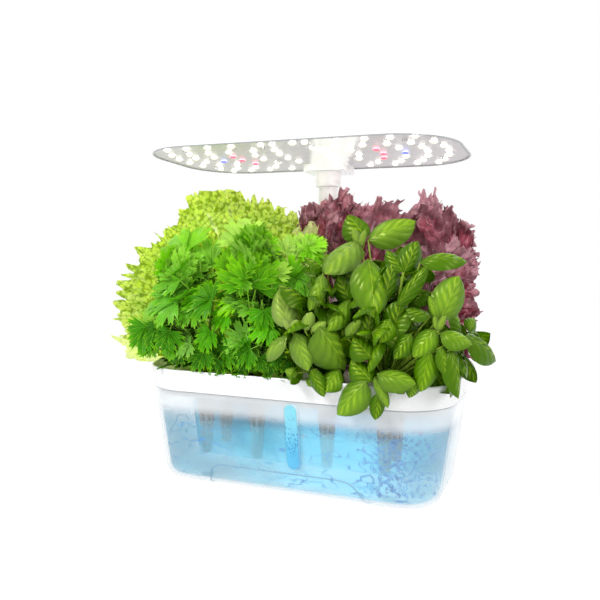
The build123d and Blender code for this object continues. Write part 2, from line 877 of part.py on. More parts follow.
def crown_face(height, middle, half_x, half_y, lobes, depth_share):
    """One leafy outline: a soft rectangle whose edge swings in and out in lobes."""
    points = []
    for step in range(2 * lobes):
        angle = pi * (step + foliage_turn_share) / lobes
        swing = 1 - depth_share * (step % 2)
        across = abs(cos(angle)) ** foliage_power_share
        along = abs(sin(angle)) ** foliage_power_share
        x = half_x * swing * across * (1 if cos(angle) > 0 else -1)
        y = half_y * swing * along * (1 if sin(angle) > 0 else -1)
        points.append((middle[0] + x, middle[1] + y))
    with BuildSketch(Plane.XY.offset(height)) as face:
        Polygon(*points, align=None)
    return face.sketch


def crown_solid(place, look, x_range, y_range, crown_height, lean_share):
    """The crown of one plant within its own range, leaning back to its pod at the top."""
    level_shares, lobes, depth_share = look
    half_x = (x_range[1] - x_range[0] - leaf_gap) / 2
    half_y = (y_range[1] - y_range[0] - leaf_gap) / 2
    middle_x = (x_range[0] + x_range[1]) / 2
    middle_y = (y_range[0] + y_range[1]) / 2
    faces = []
    for height_share, x_share, y_share in level_shares:
        pull_share = lean_share if height_share else foot_pull_share
        lean = pull_share * (1 - x_share)
        middle = (middle_x + lean * (place[0] - middle_x), middle_y)
        height = crown_foot + height_share * crown_height
        faces.append(
            crown_face(height, middle, half_x * x_share, half_y * y_share, lobes, depth_share)
        )
    with BuildPart() as crown:
        loft(sections=faces, ruled=True)
    return crown.part


def hanging_leaf(x, rise, half_length, half_width, roll):
    """One broad leaf that hangs from under a crown over the front of the band."""
    lean = radians(hanging_leaf_lean)
    leaf_plane = Plane(
        origin=(x, -basil_front + hanging_leaf_setback, rim_height + rise),
        x_dir=(cos(radians(roll)), sin(radians(roll)) * sin(lean), sin(radians(roll)) * cos(lean)),
        z_dir=(0, -cos(lean), sin(lean)),
    )
    with BuildPart() as leaf:
        with BuildSketch(leaf_plane):
            Ellipse(half_width, half_length)
        extrude(amount=hanging_leaf_thickness / 2, both=True)
        split(bisect_by=Plane.XY.offset(crown_foot - leaf_touch), keep=Keep.BOTTOM)
    return leaf.part


for name, pod, look, x_range, y_range, crown_height, lean_share in plants:
    with BuildPart() as plant:
        add(crown_solid(pod_places[pod], look, x_range, y_range, crown_height, lean_share))
    finish(plant, name)

with BuildPart() as hanging_leaves:
    for leaf_sizes in zip(
        hanging_leaf_x,
        hanging_leaf_rise,
        hanging_leaf_half_length,
        hanging_leaf_half_width,
        hanging_leaf_roll,
    ):
        add(hanging_leaf(*leaf_sizes))
finish(hanging_leaves, "hanging_leaves")

with BuildPart() as plant_stems:
    with BuildSketch(Plane.XY.offset(deck_plate_top - sponge_top_drop)):
        with Locations(*pod_places):
            Circle(stem_radius)
    extrude(amount=crown_foot - leaf_touch - deck_plate_top + sponge_top_drop)
finish(plant_stems, "plant_stems")

# Pole tubes, the ring at the top of the lower one, and the lead that runs up inside
with BuildPart() as lower_tube:
    with BuildSketch(Plane.XY.offset(lower_tube_bottom)):
        with Locations((0, pole_y)):
            Circle(lower_tube_radius)
            Circle(lower_tube_bore, mode=Mode.SUBTRACT)
    extrude(amount=lower_tube_top - lower_tube_bottom)
finish(lower_tube, "lower_tube")

with BuildPart() as pole_ring:
    with BuildSketch(Plane.XY.offset(lower_tube_top - ring_height)):
        with Locations((0, pole_y)):
            Circle(ring_radius)
    extrude(amount=ring_height + ring_lip)
    fillet(pole_ring.edges().filter_by(GeomType.CIRCLE), radius=ring_fillet)
    with BuildSketch(Plane.XY.offset(lower_tube_top - ring_height)):
        with Locations((0, pole_y)):
            Circle(lower_tube_radius + tube_clearance)
    extrude(amount=ring_height, mode=Mode.SUBTRACT)
    with BuildSketch(Plane.XY.offset(lower_tube_top)):
        with Locations((0, pole_y)):
            Circle(lower_tube_bore)
    extrude(amount=ring_lip, mode=Mode.SUBTRACT)
finish(pole_ring, "pole_ring")

with BuildPart() as upper_tube:
    with BuildSketch(Plane.XY.offset(upper_tube_bottom)):
        with Locations((0, pole_y)):
            Circle(upper_tube_radius)
            Circle(upper_tube_radius - upper_tube_wall, mode=Mode.SUBTRACT)
    extrude(amount=collar_seat - upper_tube_bottom)
finish(upper_tube, "upper_tube")

with BuildPart() as lead_grommet:
    with BuildSketch(Plane.XY.offset(upper_tube_bottom)):
        with Locations((0, pole_y)):
            Circle(upper_tube_radius - upper_tube_wall - tube_clearance)
        with Locations((coil_radius, pole_y)):
            Circle(lead_radius + lead_clearance, mode=Mode.SUBTRACT)
    extrude(amount=grommet_height)
finish(lead_grommet, "lead_grommet")

with BuildPart() as coiled_lead:
    with BuildLine(Plane(origin=(0, pole_y, coil_low))) as coil_path:
        Helix(pitch=(coil_high - coil_low) / coil_turns, height=coil_high - coil_low, radius=coil_radius)
    with BuildSketch(Plane(origin=coil_path.line @ 0, z_dir=coil_path.line % 0)):
        Circle(lead_radius)
    sweep(path=coil_path.line, is_frenet=True)
    board_face = deck_plate_bottom - wiring_drop
    with BuildSketch(Plane.XY.offset(board_face)):
        with Locations((coil_radius, pole_y)):
            Circle(lead_core_radius)
    extrude(amount=coil_low + lead_radius / 2 - board_face)
    with BuildSketch(Plane.XY.offset(coil_high - lead_radius / 2)):
        with Locations((coil_radius, pole_y)):
            Circle(lead_core_radius)
    extrude(amount=upper_tube_bottom - coil_high + lead_radius / 2)
finish(coiled_lead, "coiled_lead")

with BuildPart() as lamp_collar:
    with BuildSketch(Plane.XY.offset(collar_bottom)):
        with Locations((0, pole_y)):
            Circle(collar_radius)
    extrude(amount=lamp_z - collar_bottom)
    fillet(lamp_collar.edges().group_by(Axis.Z)[0], radius=collar_fillet)
    split(bisect_by=lamp_plane.offset(plate_bottom), keep=Keep.BOTTOM)
    with BuildSketch(Plane.XY.offset(collar_bottom)):
        with Locations((0, pole_y)):
            Circle(upper_tube_radius + tube_clearance)
    extrude(amount=collar_seat_height, mode=Mode.SUBTRACT)
    with BuildSketch(Plane.XY.offset(collar_bottom)):
        with Locations((0, pole_y)):
            Circle(lead_way_radius)
    extrude(amount=lamp_z - collar_bottom, mode=Mode.SUBTRACT)
finish(lamp_collar, "lamp_collar")

# Lamp: mount plate, shell, board with its LEDs, control board and two buttons
pole_in_lamp = (pole_y - lamp_y - control_lift * sin(tilt)) / cos(tilt)
plate_screw_places = [
    (side * plate_screw_x, plate_y + end * plate_screw_y) for side in (-1, 1) for end in (-1, 1)
]
boss_places = [
    (side * x_share * lamp_half_length, y_share * lamp_half_depth)
    for side in (-1, 1)
    for x_share, y_share in zip(board_boss_x_shares, board_boss_y_shares)
]

with BuildPart() as mount_plate:
    with BuildSketch(lamp_plane.offset(plate_bottom)):
        with Locations((0, plate_y)):
            RectangleRounded(plate_length, plate_depth, plate_corner_radius)
    extrude(amount=plate_thickness)
    fillet(mount_plate.edges().group_by(Axis.Z)[0], radius=plate_fillet)
    with BuildSketch(lamp_plane.offset(plate_bottom)):
        with Locations((0, pole_in_lamp)):
            Circle(lead_way_radius)
    extrude(amount=plate_thickness, mode=Mode.SUBTRACT)
    with BuildSketch(lamp_plane.offset(board_recess)):
        with Locations(*plate_screw_places):
            Circle(screw_bite)
    extrude(amount=-(screw_length - board_thickness), mode=Mode.SUBTRACT)
finish(mount_plate, "mount_plate")

with BuildPart() as lamp_shell:
    loft(sections=[lamp_face(0, 0), lamp_face(lamp_rim, 0)], ruled=True)
    loft(
        sections=[lamp_face(lamp_rim, 0), lamp_face(lamp_height, lamp_slope_inset)],
        ruled=True,
    )
    loft(
        sections=[lamp_face(-overrun, lamp_rim_wall), lamp_face(board_top, lamp_rim_wall)],
        ruled=True,
        mode=Mode.SUBTRACT,
    )
    cavity_foot = lamp_ledge + lamp_slope * (board_top - lamp_rim)
    cavity_head = lamp_ledge + lamp_slope * (roof_bottom - lamp_rim)
    loft(
        sections=[lamp_face(board_top, cavity_foot), lamp_face(roof_bottom, cavity_head)],
        ruled=True,
        mode=Mode.SUBTRACT,
    )
    with BuildSketch(lamp_plane.offset(board_top)):
        with Locations(*boss_places):
            Circle(board_boss_radius)
    extrude(amount=roof_bottom - board_top)
    with BuildSketch(lamp_plane.offset(board_top)):
        with Locations(*boss_places):
            Circle(screw_bite)
    extrude(amount=roof_bottom - board_top, mode=Mode.SUBTRACT)
    with BuildSketch(lamp_plane.offset(roof_bottom)):
        with Locations((-button_x, control_y), (button_x, control_y)):
            Circle(button_radius + button_clearance)
    extrude(amount=lamp_roof, mode=Mode.SUBTRACT)
finish(lamp_shell, "lamp_shell")

with BuildPart() as led_board:
    with BuildSketch(lamp_plane.offset(board_recess)):
        add(lamp_face(0, lamp_rim_wall + board_clearance).moved(lamp_plane.location.inverse()))
        with Locations(*boss_places, *plate_screw_places):
            Circle(screw_hole, mode=Mode.SUBTRACT)
        with Locations((coil_radius, pole_in_lamp)):
            Circle(2 * lead_radius, mode=Mode.SUBTRACT)
    extrude(amount=board_thickness)
finish(led_board, "led_board")


def led_place(side, column, row):
    """Where one LED sits: columns bow outwards like brackets, mirrored about the middle."""
    bend = (led_row_shares[row] - led_bow_middle_share) / led_bow_reach_share
    x_share = led_column_shares[column] - led_bow_shares[column] * bend**2
    return side * x_share * lamp_half_length, led_row_shares[row] * lamp_half_depth


def led_group(places):
    """Domed LEDs that hang from the underside of the board."""
    with BuildPart() as group:
        with BuildSketch(board_underface):
            with Locations(*[(x, -y) for x, y in places]):
                Circle(led_radius)
        extrude(amount=led_height)
        lens_edges = [
            edge
            for edge in group.edges().filter_by(GeomType.CIRCLE)
            if board_underface.to_local_coords(edge.center()).Z > led_height / 2
        ]
        fillet(lens_edges, radius=led_fillet)
    return group.part


def led_lists():
    """Places of the white, red and blue LEDs, clear of the mount plate."""
    lists = {"white": [], "red": [], "blue": []}
    plate_half = plate_length / 2 + led_radius + led_plate_gap
    plate_front = plate_y - plate_depth / 2 - led_radius - led_plate_gap
    for side in (-1, 1):
        for column in range(len(led_column_shares)):
            for row in range(len(led_row_shares)):
                x, y = led_place(side, column, row)
                if abs(x) < plate_half and y > plate_front:
                    continue
                colour = "white"
                if column == red_column and row in red_rows:
                    colour = "red"
                if column == blue_column and row in blue_rows:
                    colour = "blue"
                lists[colour].append((x, y))
    return lists


for colour, places in led_lists().items():
    with BuildPart() as leds:
        add(led_group(places))
    finish(leds, f"{colour}_leds")

with BuildPart() as board_screws:
    add(screws([(x, -y) for x, y in boss_places], board_underface))
finish(board_screws, "board_screws")

with BuildPart() as mount_screws:
    add(screws(plate_screw_places, lamp_plane.offset(board_top)))
finish(mount_screws, "mount_screws")

control_bottom = board_top + control_lift
switch_top = control_bottom + control_thickness + switch_height
with BuildPart() as control_board:
    with BuildSketch(lamp_plane.offset(control_bottom)):
        with Locations((0, control_y)):
            Rectangle(2 * control_half_length, control_depth)
    extrude(amount=control_thickness)
    with BuildSketch(lamp_plane.offset(board_top)):
        with Locations((0, control_y)):
            with GridLocations(
                2 * (control_half_length - control_post_radius),
                control_depth - 2 * control_post_radius,
                2,
                2,
            ):
                Circle(control_post_radius)
    extrude(amount=control_lift)
    with BuildSketch(lamp_plane.offset(control_bottom + control_thickness)):
        with Locations((-button_x, control_y), (button_x, control_y)):
            Rectangle(2 * switch_half_width, 2 * switch_half_width)
    extrude(amount=switch_height)
finish(control_board, "control_board")

for name, side in (("power_button", -1), ("mode_button", 1)):
    with BuildPart() as button:
        flange_top = roof_bottom - button_roof_gap
        with BuildSketch(lamp_plane.offset(flange_top - button_flange_thickness)):
            with Locations((side * button_x, control_y)):
                Circle(button_radius + button_flange)
        extrude(amount=button_flange_thickness)
        with BuildSketch(lamp_plane.offset(flange_top)):
            with Locations((side * button_x, control_y)):
                Circle(button_radius)
        extrude(amount=lamp_height + button_proud - flange_top)
        fillet(button.edges().group_by(Axis.Z)[-1], radius=button_dish)
    finish(button, name)

with BuildPart() as lamp_lead:
    lead_y = (pole_y - lamp_y - (board_top + 2 * lead_radius) * sin(tilt)) / cos(tilt)
    lead_rise_end = lamp_plane.from_local_coords((coil_radius, lead_y, board_top + 2 * lead_radius))
    control_edge = control_y + control_depth / 2
    lead_end = lamp_plane.from_local_coords((coil_radius, control_edge, board_top + 2 * lead_radius))
    with BuildLine() as lamp_lead_path:
        FilletPolyline(
            (coil_radius, pole_y, upper_tube_bottom),
            lead_rise_end,
            lead_end,
            radius=lead_bend_radius,
        )
    with BuildSketch(Plane.XY.offset(upper_tube_bottom)):
        with Locations((coil_radius, pole_y)):
            Circle(lead_radius)
    sweep(path=lamp_lead_path.line)
finish(lamp_lead, "lamp_lead")
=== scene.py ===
import math
from collections import namedtuple

import bpy
import numpy as np
from bpy.props import FloatProperty, FloatVectorProperty, IntProperty, PointerProperty
from bpy.types import Operator, Panel, PropertyGroup
from mathutils import Matrix, Vector
from mathutils.bvhtree import BVHTree


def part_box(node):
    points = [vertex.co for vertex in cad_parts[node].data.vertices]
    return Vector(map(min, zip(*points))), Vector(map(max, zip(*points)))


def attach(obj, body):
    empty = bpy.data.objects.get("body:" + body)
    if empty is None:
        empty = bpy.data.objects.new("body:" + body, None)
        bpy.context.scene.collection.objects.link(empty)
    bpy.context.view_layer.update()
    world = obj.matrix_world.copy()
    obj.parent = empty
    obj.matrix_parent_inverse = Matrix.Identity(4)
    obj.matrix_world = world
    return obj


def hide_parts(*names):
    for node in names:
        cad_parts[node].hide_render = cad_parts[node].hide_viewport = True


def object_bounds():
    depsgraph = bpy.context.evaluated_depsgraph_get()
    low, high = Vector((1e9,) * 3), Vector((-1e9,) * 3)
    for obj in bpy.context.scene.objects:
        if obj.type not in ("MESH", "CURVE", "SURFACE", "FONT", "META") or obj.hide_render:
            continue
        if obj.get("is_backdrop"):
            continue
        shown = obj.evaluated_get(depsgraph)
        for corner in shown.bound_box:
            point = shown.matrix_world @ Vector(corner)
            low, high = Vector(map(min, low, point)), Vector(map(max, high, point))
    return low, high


bl_info = {
    "name": "Indoor Herb Planter",
    "version": (1, 0, 0),
    "blender": (4, 5, 0),
    "location": "View3D > Sidebar > Planter",
    "description": "Water, plants and finishes for a countertop herb planter",
    "category": "Object",
}

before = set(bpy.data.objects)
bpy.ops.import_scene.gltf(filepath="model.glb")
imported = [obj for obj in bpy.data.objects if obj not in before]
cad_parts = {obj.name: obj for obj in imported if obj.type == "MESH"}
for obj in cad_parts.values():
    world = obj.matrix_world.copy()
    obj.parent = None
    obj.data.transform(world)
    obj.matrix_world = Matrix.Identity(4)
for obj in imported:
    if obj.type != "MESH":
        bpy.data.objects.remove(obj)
cad_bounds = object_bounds()

MM = 0.001
PICTURE_SIDE = 600
SENSOR_WIDTH = 36.0

# The tapered tub, as the tank and the deck's band have it. Named lengths are in millimetres
TUB_BASE_HALF_LENGTH = 170.3
TUB_BASE_HALF_DEPTH = 74.5
TUB_BASE_CORNER = 40.5
TUB_RIM_HALF_LENGTH = 190.0
TUB_RIM_HALF_DEPTH = 93.9
TUB_RIM_CORNER = 64.0
TUB_RIM_HEIGHT = 138.6
TUB_BASE_EDGE = 16.5
TANK_WALL = 2.5
TANK_FLOOR = 3.0
POLE_PLACE = (0.0, 74.0)
CAP_PLACE = (0.0, 0.0)
WINDOW_X = 14.7
# Height of the lamp's underside over the origin, and how much it drops along Y
LAMP_FOOT = 388.5
LAMP_LEAN = 0.0577

# Where a finish changes, from and to: heights, unless the comment says more
DECK_SEAM = (113.7, 113.2)
LAMP_LIP = (1.4, 0.8)  # over the lamp's underside
WALL_RIM = (82, 98)
WALL_FOOT = (0, 12)
WALL_ENDS = (150, 185)  # from the middle, along X
WALL_FRONT = (-50, -60)  # Y
WINDOW_PALE = (50, 100)
WINDOW_BUBBLES = (100, 88)
WINDOW_FOOT = (33.5, 32.5)
WINDOW_HEAD = (109, 110)
WINDOW_SIDES = (7.1, 7.5)  # from its middle, along X
BOARD_REFLECTION = (27, 19)  # from the painted reflection's middle line
WATER_MIDDLE = 40  # X of the brightest water
WATER_BRIGHT = (170, 10)  # from there, along X
WATER_TOP = (74, 94)
WATER_FOOT = (20, 4)
WATER_FADING = (95, 74)
WATER_UNEVEN = 12
WATER_SHEET = (24, 26)  # Y
# Heights over which the parsley grows lighter in painted light
PARSLEY_LIT_TOP = (210, 310)

# Lines a * x + b * other = c: the sides of the arch on the tank's front, with the height as
# the other, and the middle of the painted reflection on the board, with Y as the other
ARCH_SIDES = ((-1.0, 0.15, 95.1), (0.85, 0.52, 83.8))
ARCH_TOP = 26.8
ARCH_ROUNDING = 22
ARCH_LINE = (0.9, 0.3)
BOARD_REFLECTION_LINE = (0.927, 0.375, 27.7)


def colour(name, description, default):
    """A colour that a user may change."""
    return FloatVectorProperty(
        name=name, description=description, default=default, subtype="COLOR", size=3, min=0, max=1
    )


def length(name, description, default):
    """A length in metres that a user may change."""
    return FloatProperty(
        name=name, description=description, default=default, unit="LENGTH", precision=4, min=0
    )


def share(name, description, default):
    """A share from 0 to 1 that a user may change."""
    return FloatProperty(
        name=name, description=description, default=default, subtype="FACTOR", min=0, max=1
    )


def amount(name, description, default):
    """A plain number that a user may change."""
    return FloatProperty(name=name, description=description, default=default, min=0)


def turn(name, description, degrees):
    """An angle that a user may change."""
    return FloatProperty(
        name=name,
        description=description,
        default=math.radians(degrees),
        subtype="ANGLE",
        unit="ROTATION",
    )


def seed(default):
    """The seed of one piece's random draws."""
    return IntProperty(name="Seed", description="Seed of the random draws", default=default, min=0)


class PlanterView(PropertyGroup):
    """Where the camera stands and how the studio is lit."""

    camera_place: FloatVectorProperty(
        name="Camera place",
        description="Where the camera stands",
        default=(0.30608, -0.78134, 0.28609),
        subtype="TRANSLATION",
        unit="LENGTH",
    )
    camera_azimuth: turn("Azimuth", "Turn of the camera round the planter", 21.995)
    camera_elevation: turn("Elevation", "How far the camera looks down", 4.685)
    camera_lens: amount("Lens", "Focal length in millimetres", 41.711)
    world_light: amount("Room light", "Strength of the even light from all sides", 0.63)
    key_power: amount("Key lamp", "Power of the large lamp at the front left, in watts", 18.5)
    fill_power: amount("Fill lamp", "Power of the lamp at the front right, in watts", 10.0)
    rear_power: amount("Rear lamp", "Power of the lamp behind, in watts", 8.0)
    floor_colour: colour("Floor", "Colour of the floor", (0.9, 0.9, 0.9))


class PlanterPlastic(PropertyGroup):
    """Colours of the moulded parts."""

    white: colour("White", "Gloss white of deck, pole and lamp", (0.93, 0.935, 0.94))
    frost: colour("Frost", "Frosted wall of the tank", (0.95, 0.965, 0.98))
    frost_share: share("Frost share", "How solid the tank's wall looks from straight on", 0.07)
    window: colour("Window", "Clear strip in the tank's front", (0.32, 0.86, 1.0))
    basket: colour("Basket", "Pod baskets", (0.2, 0.22, 0.23))
    sponge: colour("Sponge", "Grow sponges", (0.2, 0.18, 0.15))
    board: colour("Board", "Metal board under the lamp", (0.53, 0.485, 0.53))


class PlanterWater(PropertyGroup):
    """The water in the tank and its bubbles."""

    level: length("Level", "Height of the still surface", 0.0945)
    wave: length("Wave", "How far the surface swings", 0.0035)
    bright: colour("Bright water", "Colour round the window", (0.1, 0.68, 0.92))
    deep: colour("Deep water", "Colour at the ends", (0.03, 0.26, 0.4))
    streak: colour("Streak", "Colour of the swirls", (0.01, 0.17, 0.45))
    bubble: colour("Bubble", "Colour of a bubble's rim", (0.01, 0.34, 0.72))
    bubble_count: IntProperty(
        name="Bubbles", description="How many bubbles cling to the wall", default=460, min=0
    )
    seed: seed(7)


class PlanterLamp(PropertyGroup):
    """Light of the LEDs."""

    white: colour("White LEDs", "Warm white light", (1.0, 0.95, 0.82))
    red: colour("Red LEDs", "Red light", (0.95, 0.22, 0.3))
    blue: colour("Blue LEDs", "Blue light", (0.25, 0.29, 0.95))
    strength: amount("Strength", "How brightly the LEDs shine", 12.0)


class PlanterBasil(PropertyGroup):
    """The basil plants."""

    # Shade is also the colour of painted shade on leaves deep in the crown, in vein grooves and at
    # edges; the colour for new leaves also stands for lit ones
    shade: colour("Shade", "Old leaves", (0.045, 0.14, 0.001))
    leaf: colour("Leaf", "Most leaves", (0.15, 0.35, 0.002))
    young: colour("Young", "Young leaves", (0.19, 0.38, 0.002))
    vein: colour("Vein", "Veins", (0.48, 0.73, 0.025))
    blade: length("Blade", "Length of a full-grown leaf", 0.042)
    seed: seed(11)


class PlanterParsley(PropertyGroup):
    """The parsley plants."""

    # Shade is also the colour of painted shade on leaves deep in the crown; the colour for new
    # leaves also paints the lit top of the crown
    shade: colour("Shade", "Old leaves", (0.012, 0.12, 0.001))
    leaf: colour("Leaf", "Most leaves", (0.11, 0.56, 0.002))
    young: colour("Young", "Young leaves", (0.38, 0.88, 0.006))
    vein: colour("Vein", "Veins", (0.36, 0.7, 0.05))
    blade: length("Blade", "Length of a full-grown leaf", 0.052)
    seed: seed(23)


class PlanterGreenLettuce(PropertyGroup):
    """The green lettuces."""

    shade: colour("Shade", "Inner parts", (0.38, 0.62, 0.004))
    leaf: colour("Leaf", "Most of each leaf", (0.58, 0.84, 0.008))
    edge: colour("Edge", "Frilled edges", (0.78, 0.95, 0.04))
    rib: colour("Rib", "Ribs and pale leaves", (0.93, 0.97, 0.52))
    blade: length("Blade", "Length of a full-grown leaf", 0.075)
    seed: seed(31)


class PlanterRedLettuce(PropertyGroup):
    """The red lettuces."""

    shade: colour("Shade", "Inner parts", (0.13, 0.008, 0.02))
    leaf: colour("Leaf", "Most of each leaf", (0.4, 0.028, 0.07))
    edge: colour("Edge", "Bloom on the frilled edges", (0.74, 0.44, 0.5))
    rib: colour("Rib", "Ribs", (0.9, 0.66, 0.68))
    blade: length("Blade", "Length of a full-grown leaf", 0.075)
    seed: seed(43)


def shaded(colour_value, part_left):
    """A colour with only a part of its light left."""
    return tuple(part_left * channel for channel in colour_value)


class Tree:
    """A node tree, built up step by step."""

    def __init__(self, owner):
        owner.use_nodes = True
        self.nodes = owner.node_tree.nodes
        self.links = owner.node_tree.links

    def join(self, value, socket):
        """Links an output, or sets a number or a colour."""
        if isinstance(value, bpy.types.NodeSocket):
            self.links.new(value, socket)
        elif socket.type == "RGBA":
            socket.default_value = (*value, 1) if len(value) == 3 else value
        else:
            socket.default_value = value

    def node(self, kind, inputs=None, **settings):
        """Adds a node, with its settings and its inputs by name or number."""
        made = self.nodes.new(kind)
        for key, value in settings.items():
            setattr(made, key, value)
        for socket, value in (inputs or {}).items():
            self.join(value, made.inputs[socket])
        return made

    def sum(self, operation, first, second=0.0, third=0.0):
        """One step of arithmetic."""
        inputs = {0: first, 1: second, 2: third}
        return self.node("ShaderNodeMath", inputs, operation=operation).outputs[0]

    def times(self, first, second):
        """A product."""
        return self.sum("MULTIPLY", first, second)

    def line(self, value, factor, added):
        """A value times a factor, and something added."""
        return self.sum("MULTIPLY_ADD", value, factor, added)

    def larger(self, first, second):
        """The larger of two values."""
        return self.sum("MAXIMUM", first, second)

    def absolute(self, value):
        """A value without its sign."""
        return self.sum("ABSOLUTE", value)

    def span(self, value, low, high, to_low=0.0, to_high=1.0):
        """Maps a stretch of values smoothly to another."""
        inputs = {"Value": value, 1: low, 2: high, 3: to_low, 4: to_high}
        made = self.node("ShaderNodeMapRange", inputs, interpolation_type="SMOOTHSTEP")
        return made.outputs["Result"]

    def between(self, place, ends, to_low=0.0, to_high=1.0):
        """Maps a stretch of places, in millimetres, smoothly to other values."""
        return self.span(place, ends[0] * MM, ends[1] * MM, to_low, to_high)

    def seen(self):
        """One for rays that show the surroundings, straight, mirrored or through glass."""
        rays = self.node("ShaderNodeLightPath").outputs
        straight_or_mirrored = self.larger(rays["Is Camera Ray"], rays["Is Glossy Ray"])
        return self.larger(straight_or_mirrored, rays["Is Transmission Ray"])


class Finish(Tree):
    """A node material round one Principled shader, whose tone is painted over in steps."""

    def __init__(self, name, tone, roughness, **sockets):
        self.material = bpy.data.materials.new(name)
        super().__init__(self.material)
        self.shader = self.nodes["Principled BSDF"]
        self.tone = tone
        self.feed("Roughness", roughness)
        for socket, value in sockets.items():
            self.feed(socket.replace("_", " "), value)
        self.place = self.node("ShaderNodeTexCoord").outputs["Object"]

    def feed(self, socket, value):
        """Sets or links one input of the main shader."""
        self.join(value, self.shader.inputs[socket])

    def done(self):
        """Gives the shader its tone and hands the material out."""
        self.feed("Base Color", self.tone)
        return self.material

    def noise(self, scale, detail=2.0, place=None):
        """Soft noise over the surface."""
        inputs = {"Vector": place or self.place, "Scale": scale, "Detail": detail}
        return self.node("ShaderNodeTexNoise", inputs).outputs["Fac"]

    def cells(self, scale, place=None):
        """Distance to the nearest of many scattered points."""
        inputs = {"Vector": place or self.place, "Scale": scale}
        return self.node("ShaderNodeTexVoronoi", inputs).outputs["Distance"]

    def stretched(self, *scale):
        """The surface's place, scaled along each axis."""
        inputs = {"Vector": self.place, "Scale": scale}
        return self.node("ShaderNodeMapping", inputs).outputs[0]

    def axes(self, place=None):
        """The three parts of a place."""
        made = self.node("ShaderNodeSeparateXYZ", {0: place or self.place})
        return made.outputs[0], made.outputs[1], made.outputs[2]

    def stored(self, name, output="Vector"):
        """A value stored on the mesh."""
        return self.node("ShaderNodeAttribute", attribute_name=name).outputs[output]

    def facing(self):
        """How far the surface is seen on edge."""
        return self.node("ShaderNodeLayerWeight", {"Blend": 0.5}).outputs["Facing"]

    def mix(self, factor, first, second):
        """A mix of two colours."""
        inputs = {0: factor, 6: first, 7: second}
        return self.node("ShaderNodeMix", inputs, data_type="RGBA").outputs[2]

    def tint(self, factor, over):
        """Paints a colour over the tone."""
        self.tone = self.mix(factor, self.tone, over)

    def mottle(self, factor, part_left):
        """Darkens the plain tone where a factor is low."""
        self.tone = self.mix(factor, shaded(self.tone, part_left), self.tone)

    def roughen(self, value, smooth, rough, low=0.3, high=0.7):
        """Varies the gloss over the surface."""
        self.feed("Roughness", self.span(value, low, high, smooth, rough))

    def bump(self, height, strength, depth):
        """Gives the shader a bumpy surface, of a depth in millimetres."""
        inputs = {"Height": height, "Strength": strength, "Distance": depth * MM}
        self.feed("Normal", self.node("ShaderNodeBump", inputs).outputs["Normal"])

    def glow(self, light, strength):
        """Lets the surface shine by itself."""
        self.feed("Emission Color", light)
        self.feed("Emission Strength", strength)

    def mingle(self, factor, below, above):
        """Makes a mix of two shaders the surface."""
        mixed = self.node("ShaderNodeMixShader", {0: factor, 1: below, 2: above}).outputs[0]
        self.links.new(mixed, self.nodes["Material Output"].inputs["Surface"])

    def see_through(self, solid, clear=(1, 1, 1)):
        """Leaves only a part of the surface solid, and less of that in its shadow."""
        shadow = self.node("ShaderNodeLightPath").outputs["Is Shadow Ray"]
        solid = self.times(solid, self.line(shadow, -0.85, 1.0))
        passed = self.node("ShaderNodeBsdfTransparent", {"Color": clear}).outputs[0]
        self.mingle(solid, passed, self.shader.outputs[0])


def settings(name):
    """One group of the planter's settings."""
    return getattr(bpy.context.scene, "planter_" + name)


def dress(material, *names):
    """Gives CAD nodes their material."""
    for name in names:
        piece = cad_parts[name]
        piece.data.materials.clear()
        piece.data.materials.append(material)


def add_object(name, points, faces, material):
    """A smooth mesh object from an array of points and an array or list of faces."""
    mesh = bpy.data.meshes.new(name)
    corners = faces if isinstance(faces, list) else faces.tolist()
    mesh.from_pydata(points.tolist(), [], corners)
    mesh.shade_smooth()
    mesh.materials.append(material)
    piece = bpy.data.objects.new(name, mesh)
    bpy.context.scene.collection.objects.link(piece)
    return piece


# Finishes of the moulded and metal parts

STEEL = (0.56, 0.56, 0.58)
SEAM_SHADE_GREY = (0.32, 0.33, 0.35)
LIP_GREY = (0.36, 0.37, 0.39)
ARCH_SHADE_BLUE = (0.16, 0.38, 0.56)
FROST_PAINTED_GLOW = (0.92, 0.96, 1.0)
WINDOW_BLUE = (0.14, 0.63, 0.95)
CRUMB_GREY = (0.5, 0.49, 0.46)
REFLECTION_WHITE = (0.95, 0.95, 0.94)
REFLECTION_GLOW = (1.0, 1.0, 0.98)
MASK_GREENS = ((0.02, 0.16, 0.07), (0.015, 0.13, 0.055), (0.02, 0.17, 0.075), (0.05, 0.26, 0.12))
# Noise and cells per metre, from a slow mottle to the finest grain
FLOW = 18.0
SCUFFS = 420.0
PEEL = 900.0
GRAIN = 1400.0
BRUSHED = 1600.0
TURNED = 1800.0
CRUMBS = 520.0
WINDOW_BEADS = 420.0
TRACKS = 120.0


def gloss_finish(name, base, roughness=0.24):
    """Moulded plastic: a faint flow mottle, fine scuffs in the gloss and a slight orange peel."""
    finish = Finish(name, base, roughness, IOR=1.46, Coat_Weight=0.25, Coat_Roughness=0.08)
    finish.mottle(finish.span(finish.noise(FLOW, 3.0), 0.3, 0.7), 0.985)
    finish.roughen(finish.noise(SCUFFS, 4.0), roughness - 0.05, roughness + 0.09, 0.35, 0.75)
    finish.bump(finish.noise(PEEL), 0.06, 0.4)
    return finish


def gloss_plastic(name, base, roughness=0.24):
    """Moulded plastic in one colour."""
    return gloss_finish(name, base, roughness).done()


def seam_shaded_plastic(name, base):
    """The deck's moulded plastic, with a grey line of painted shade where its band meets the tank.
    """
    finish = gloss_finish(name, base)
    finish.tint(finish.between(finish.axes()[2], DECK_SEAM), SEAM_SHADE_GREY)
    return finish.done()


def lipped_plastic(name, base):
    """The lamp shell's moulded plastic, with its lip in the shade of the board's edge."""
    finish = gloss_finish(name, base)
    _, deep, height = finish.axes()
    lift = finish.line(deep, LAMP_LEAN, finish.sum("SUBTRACT", height, LAMP_FOOT * MM))
    finish.tint(finish.between(lift, LAMP_LIP), LIP_GREY)
    return finish.done()


def lit_plastic(name, base, strength):
    """Moulded plastic close to the lamp, with a painted glow that stands in for the lamp's light on
    it.
    """
    finish = gloss_finish(name, base)
    finish.glow(base, strength)
    return finish.done()


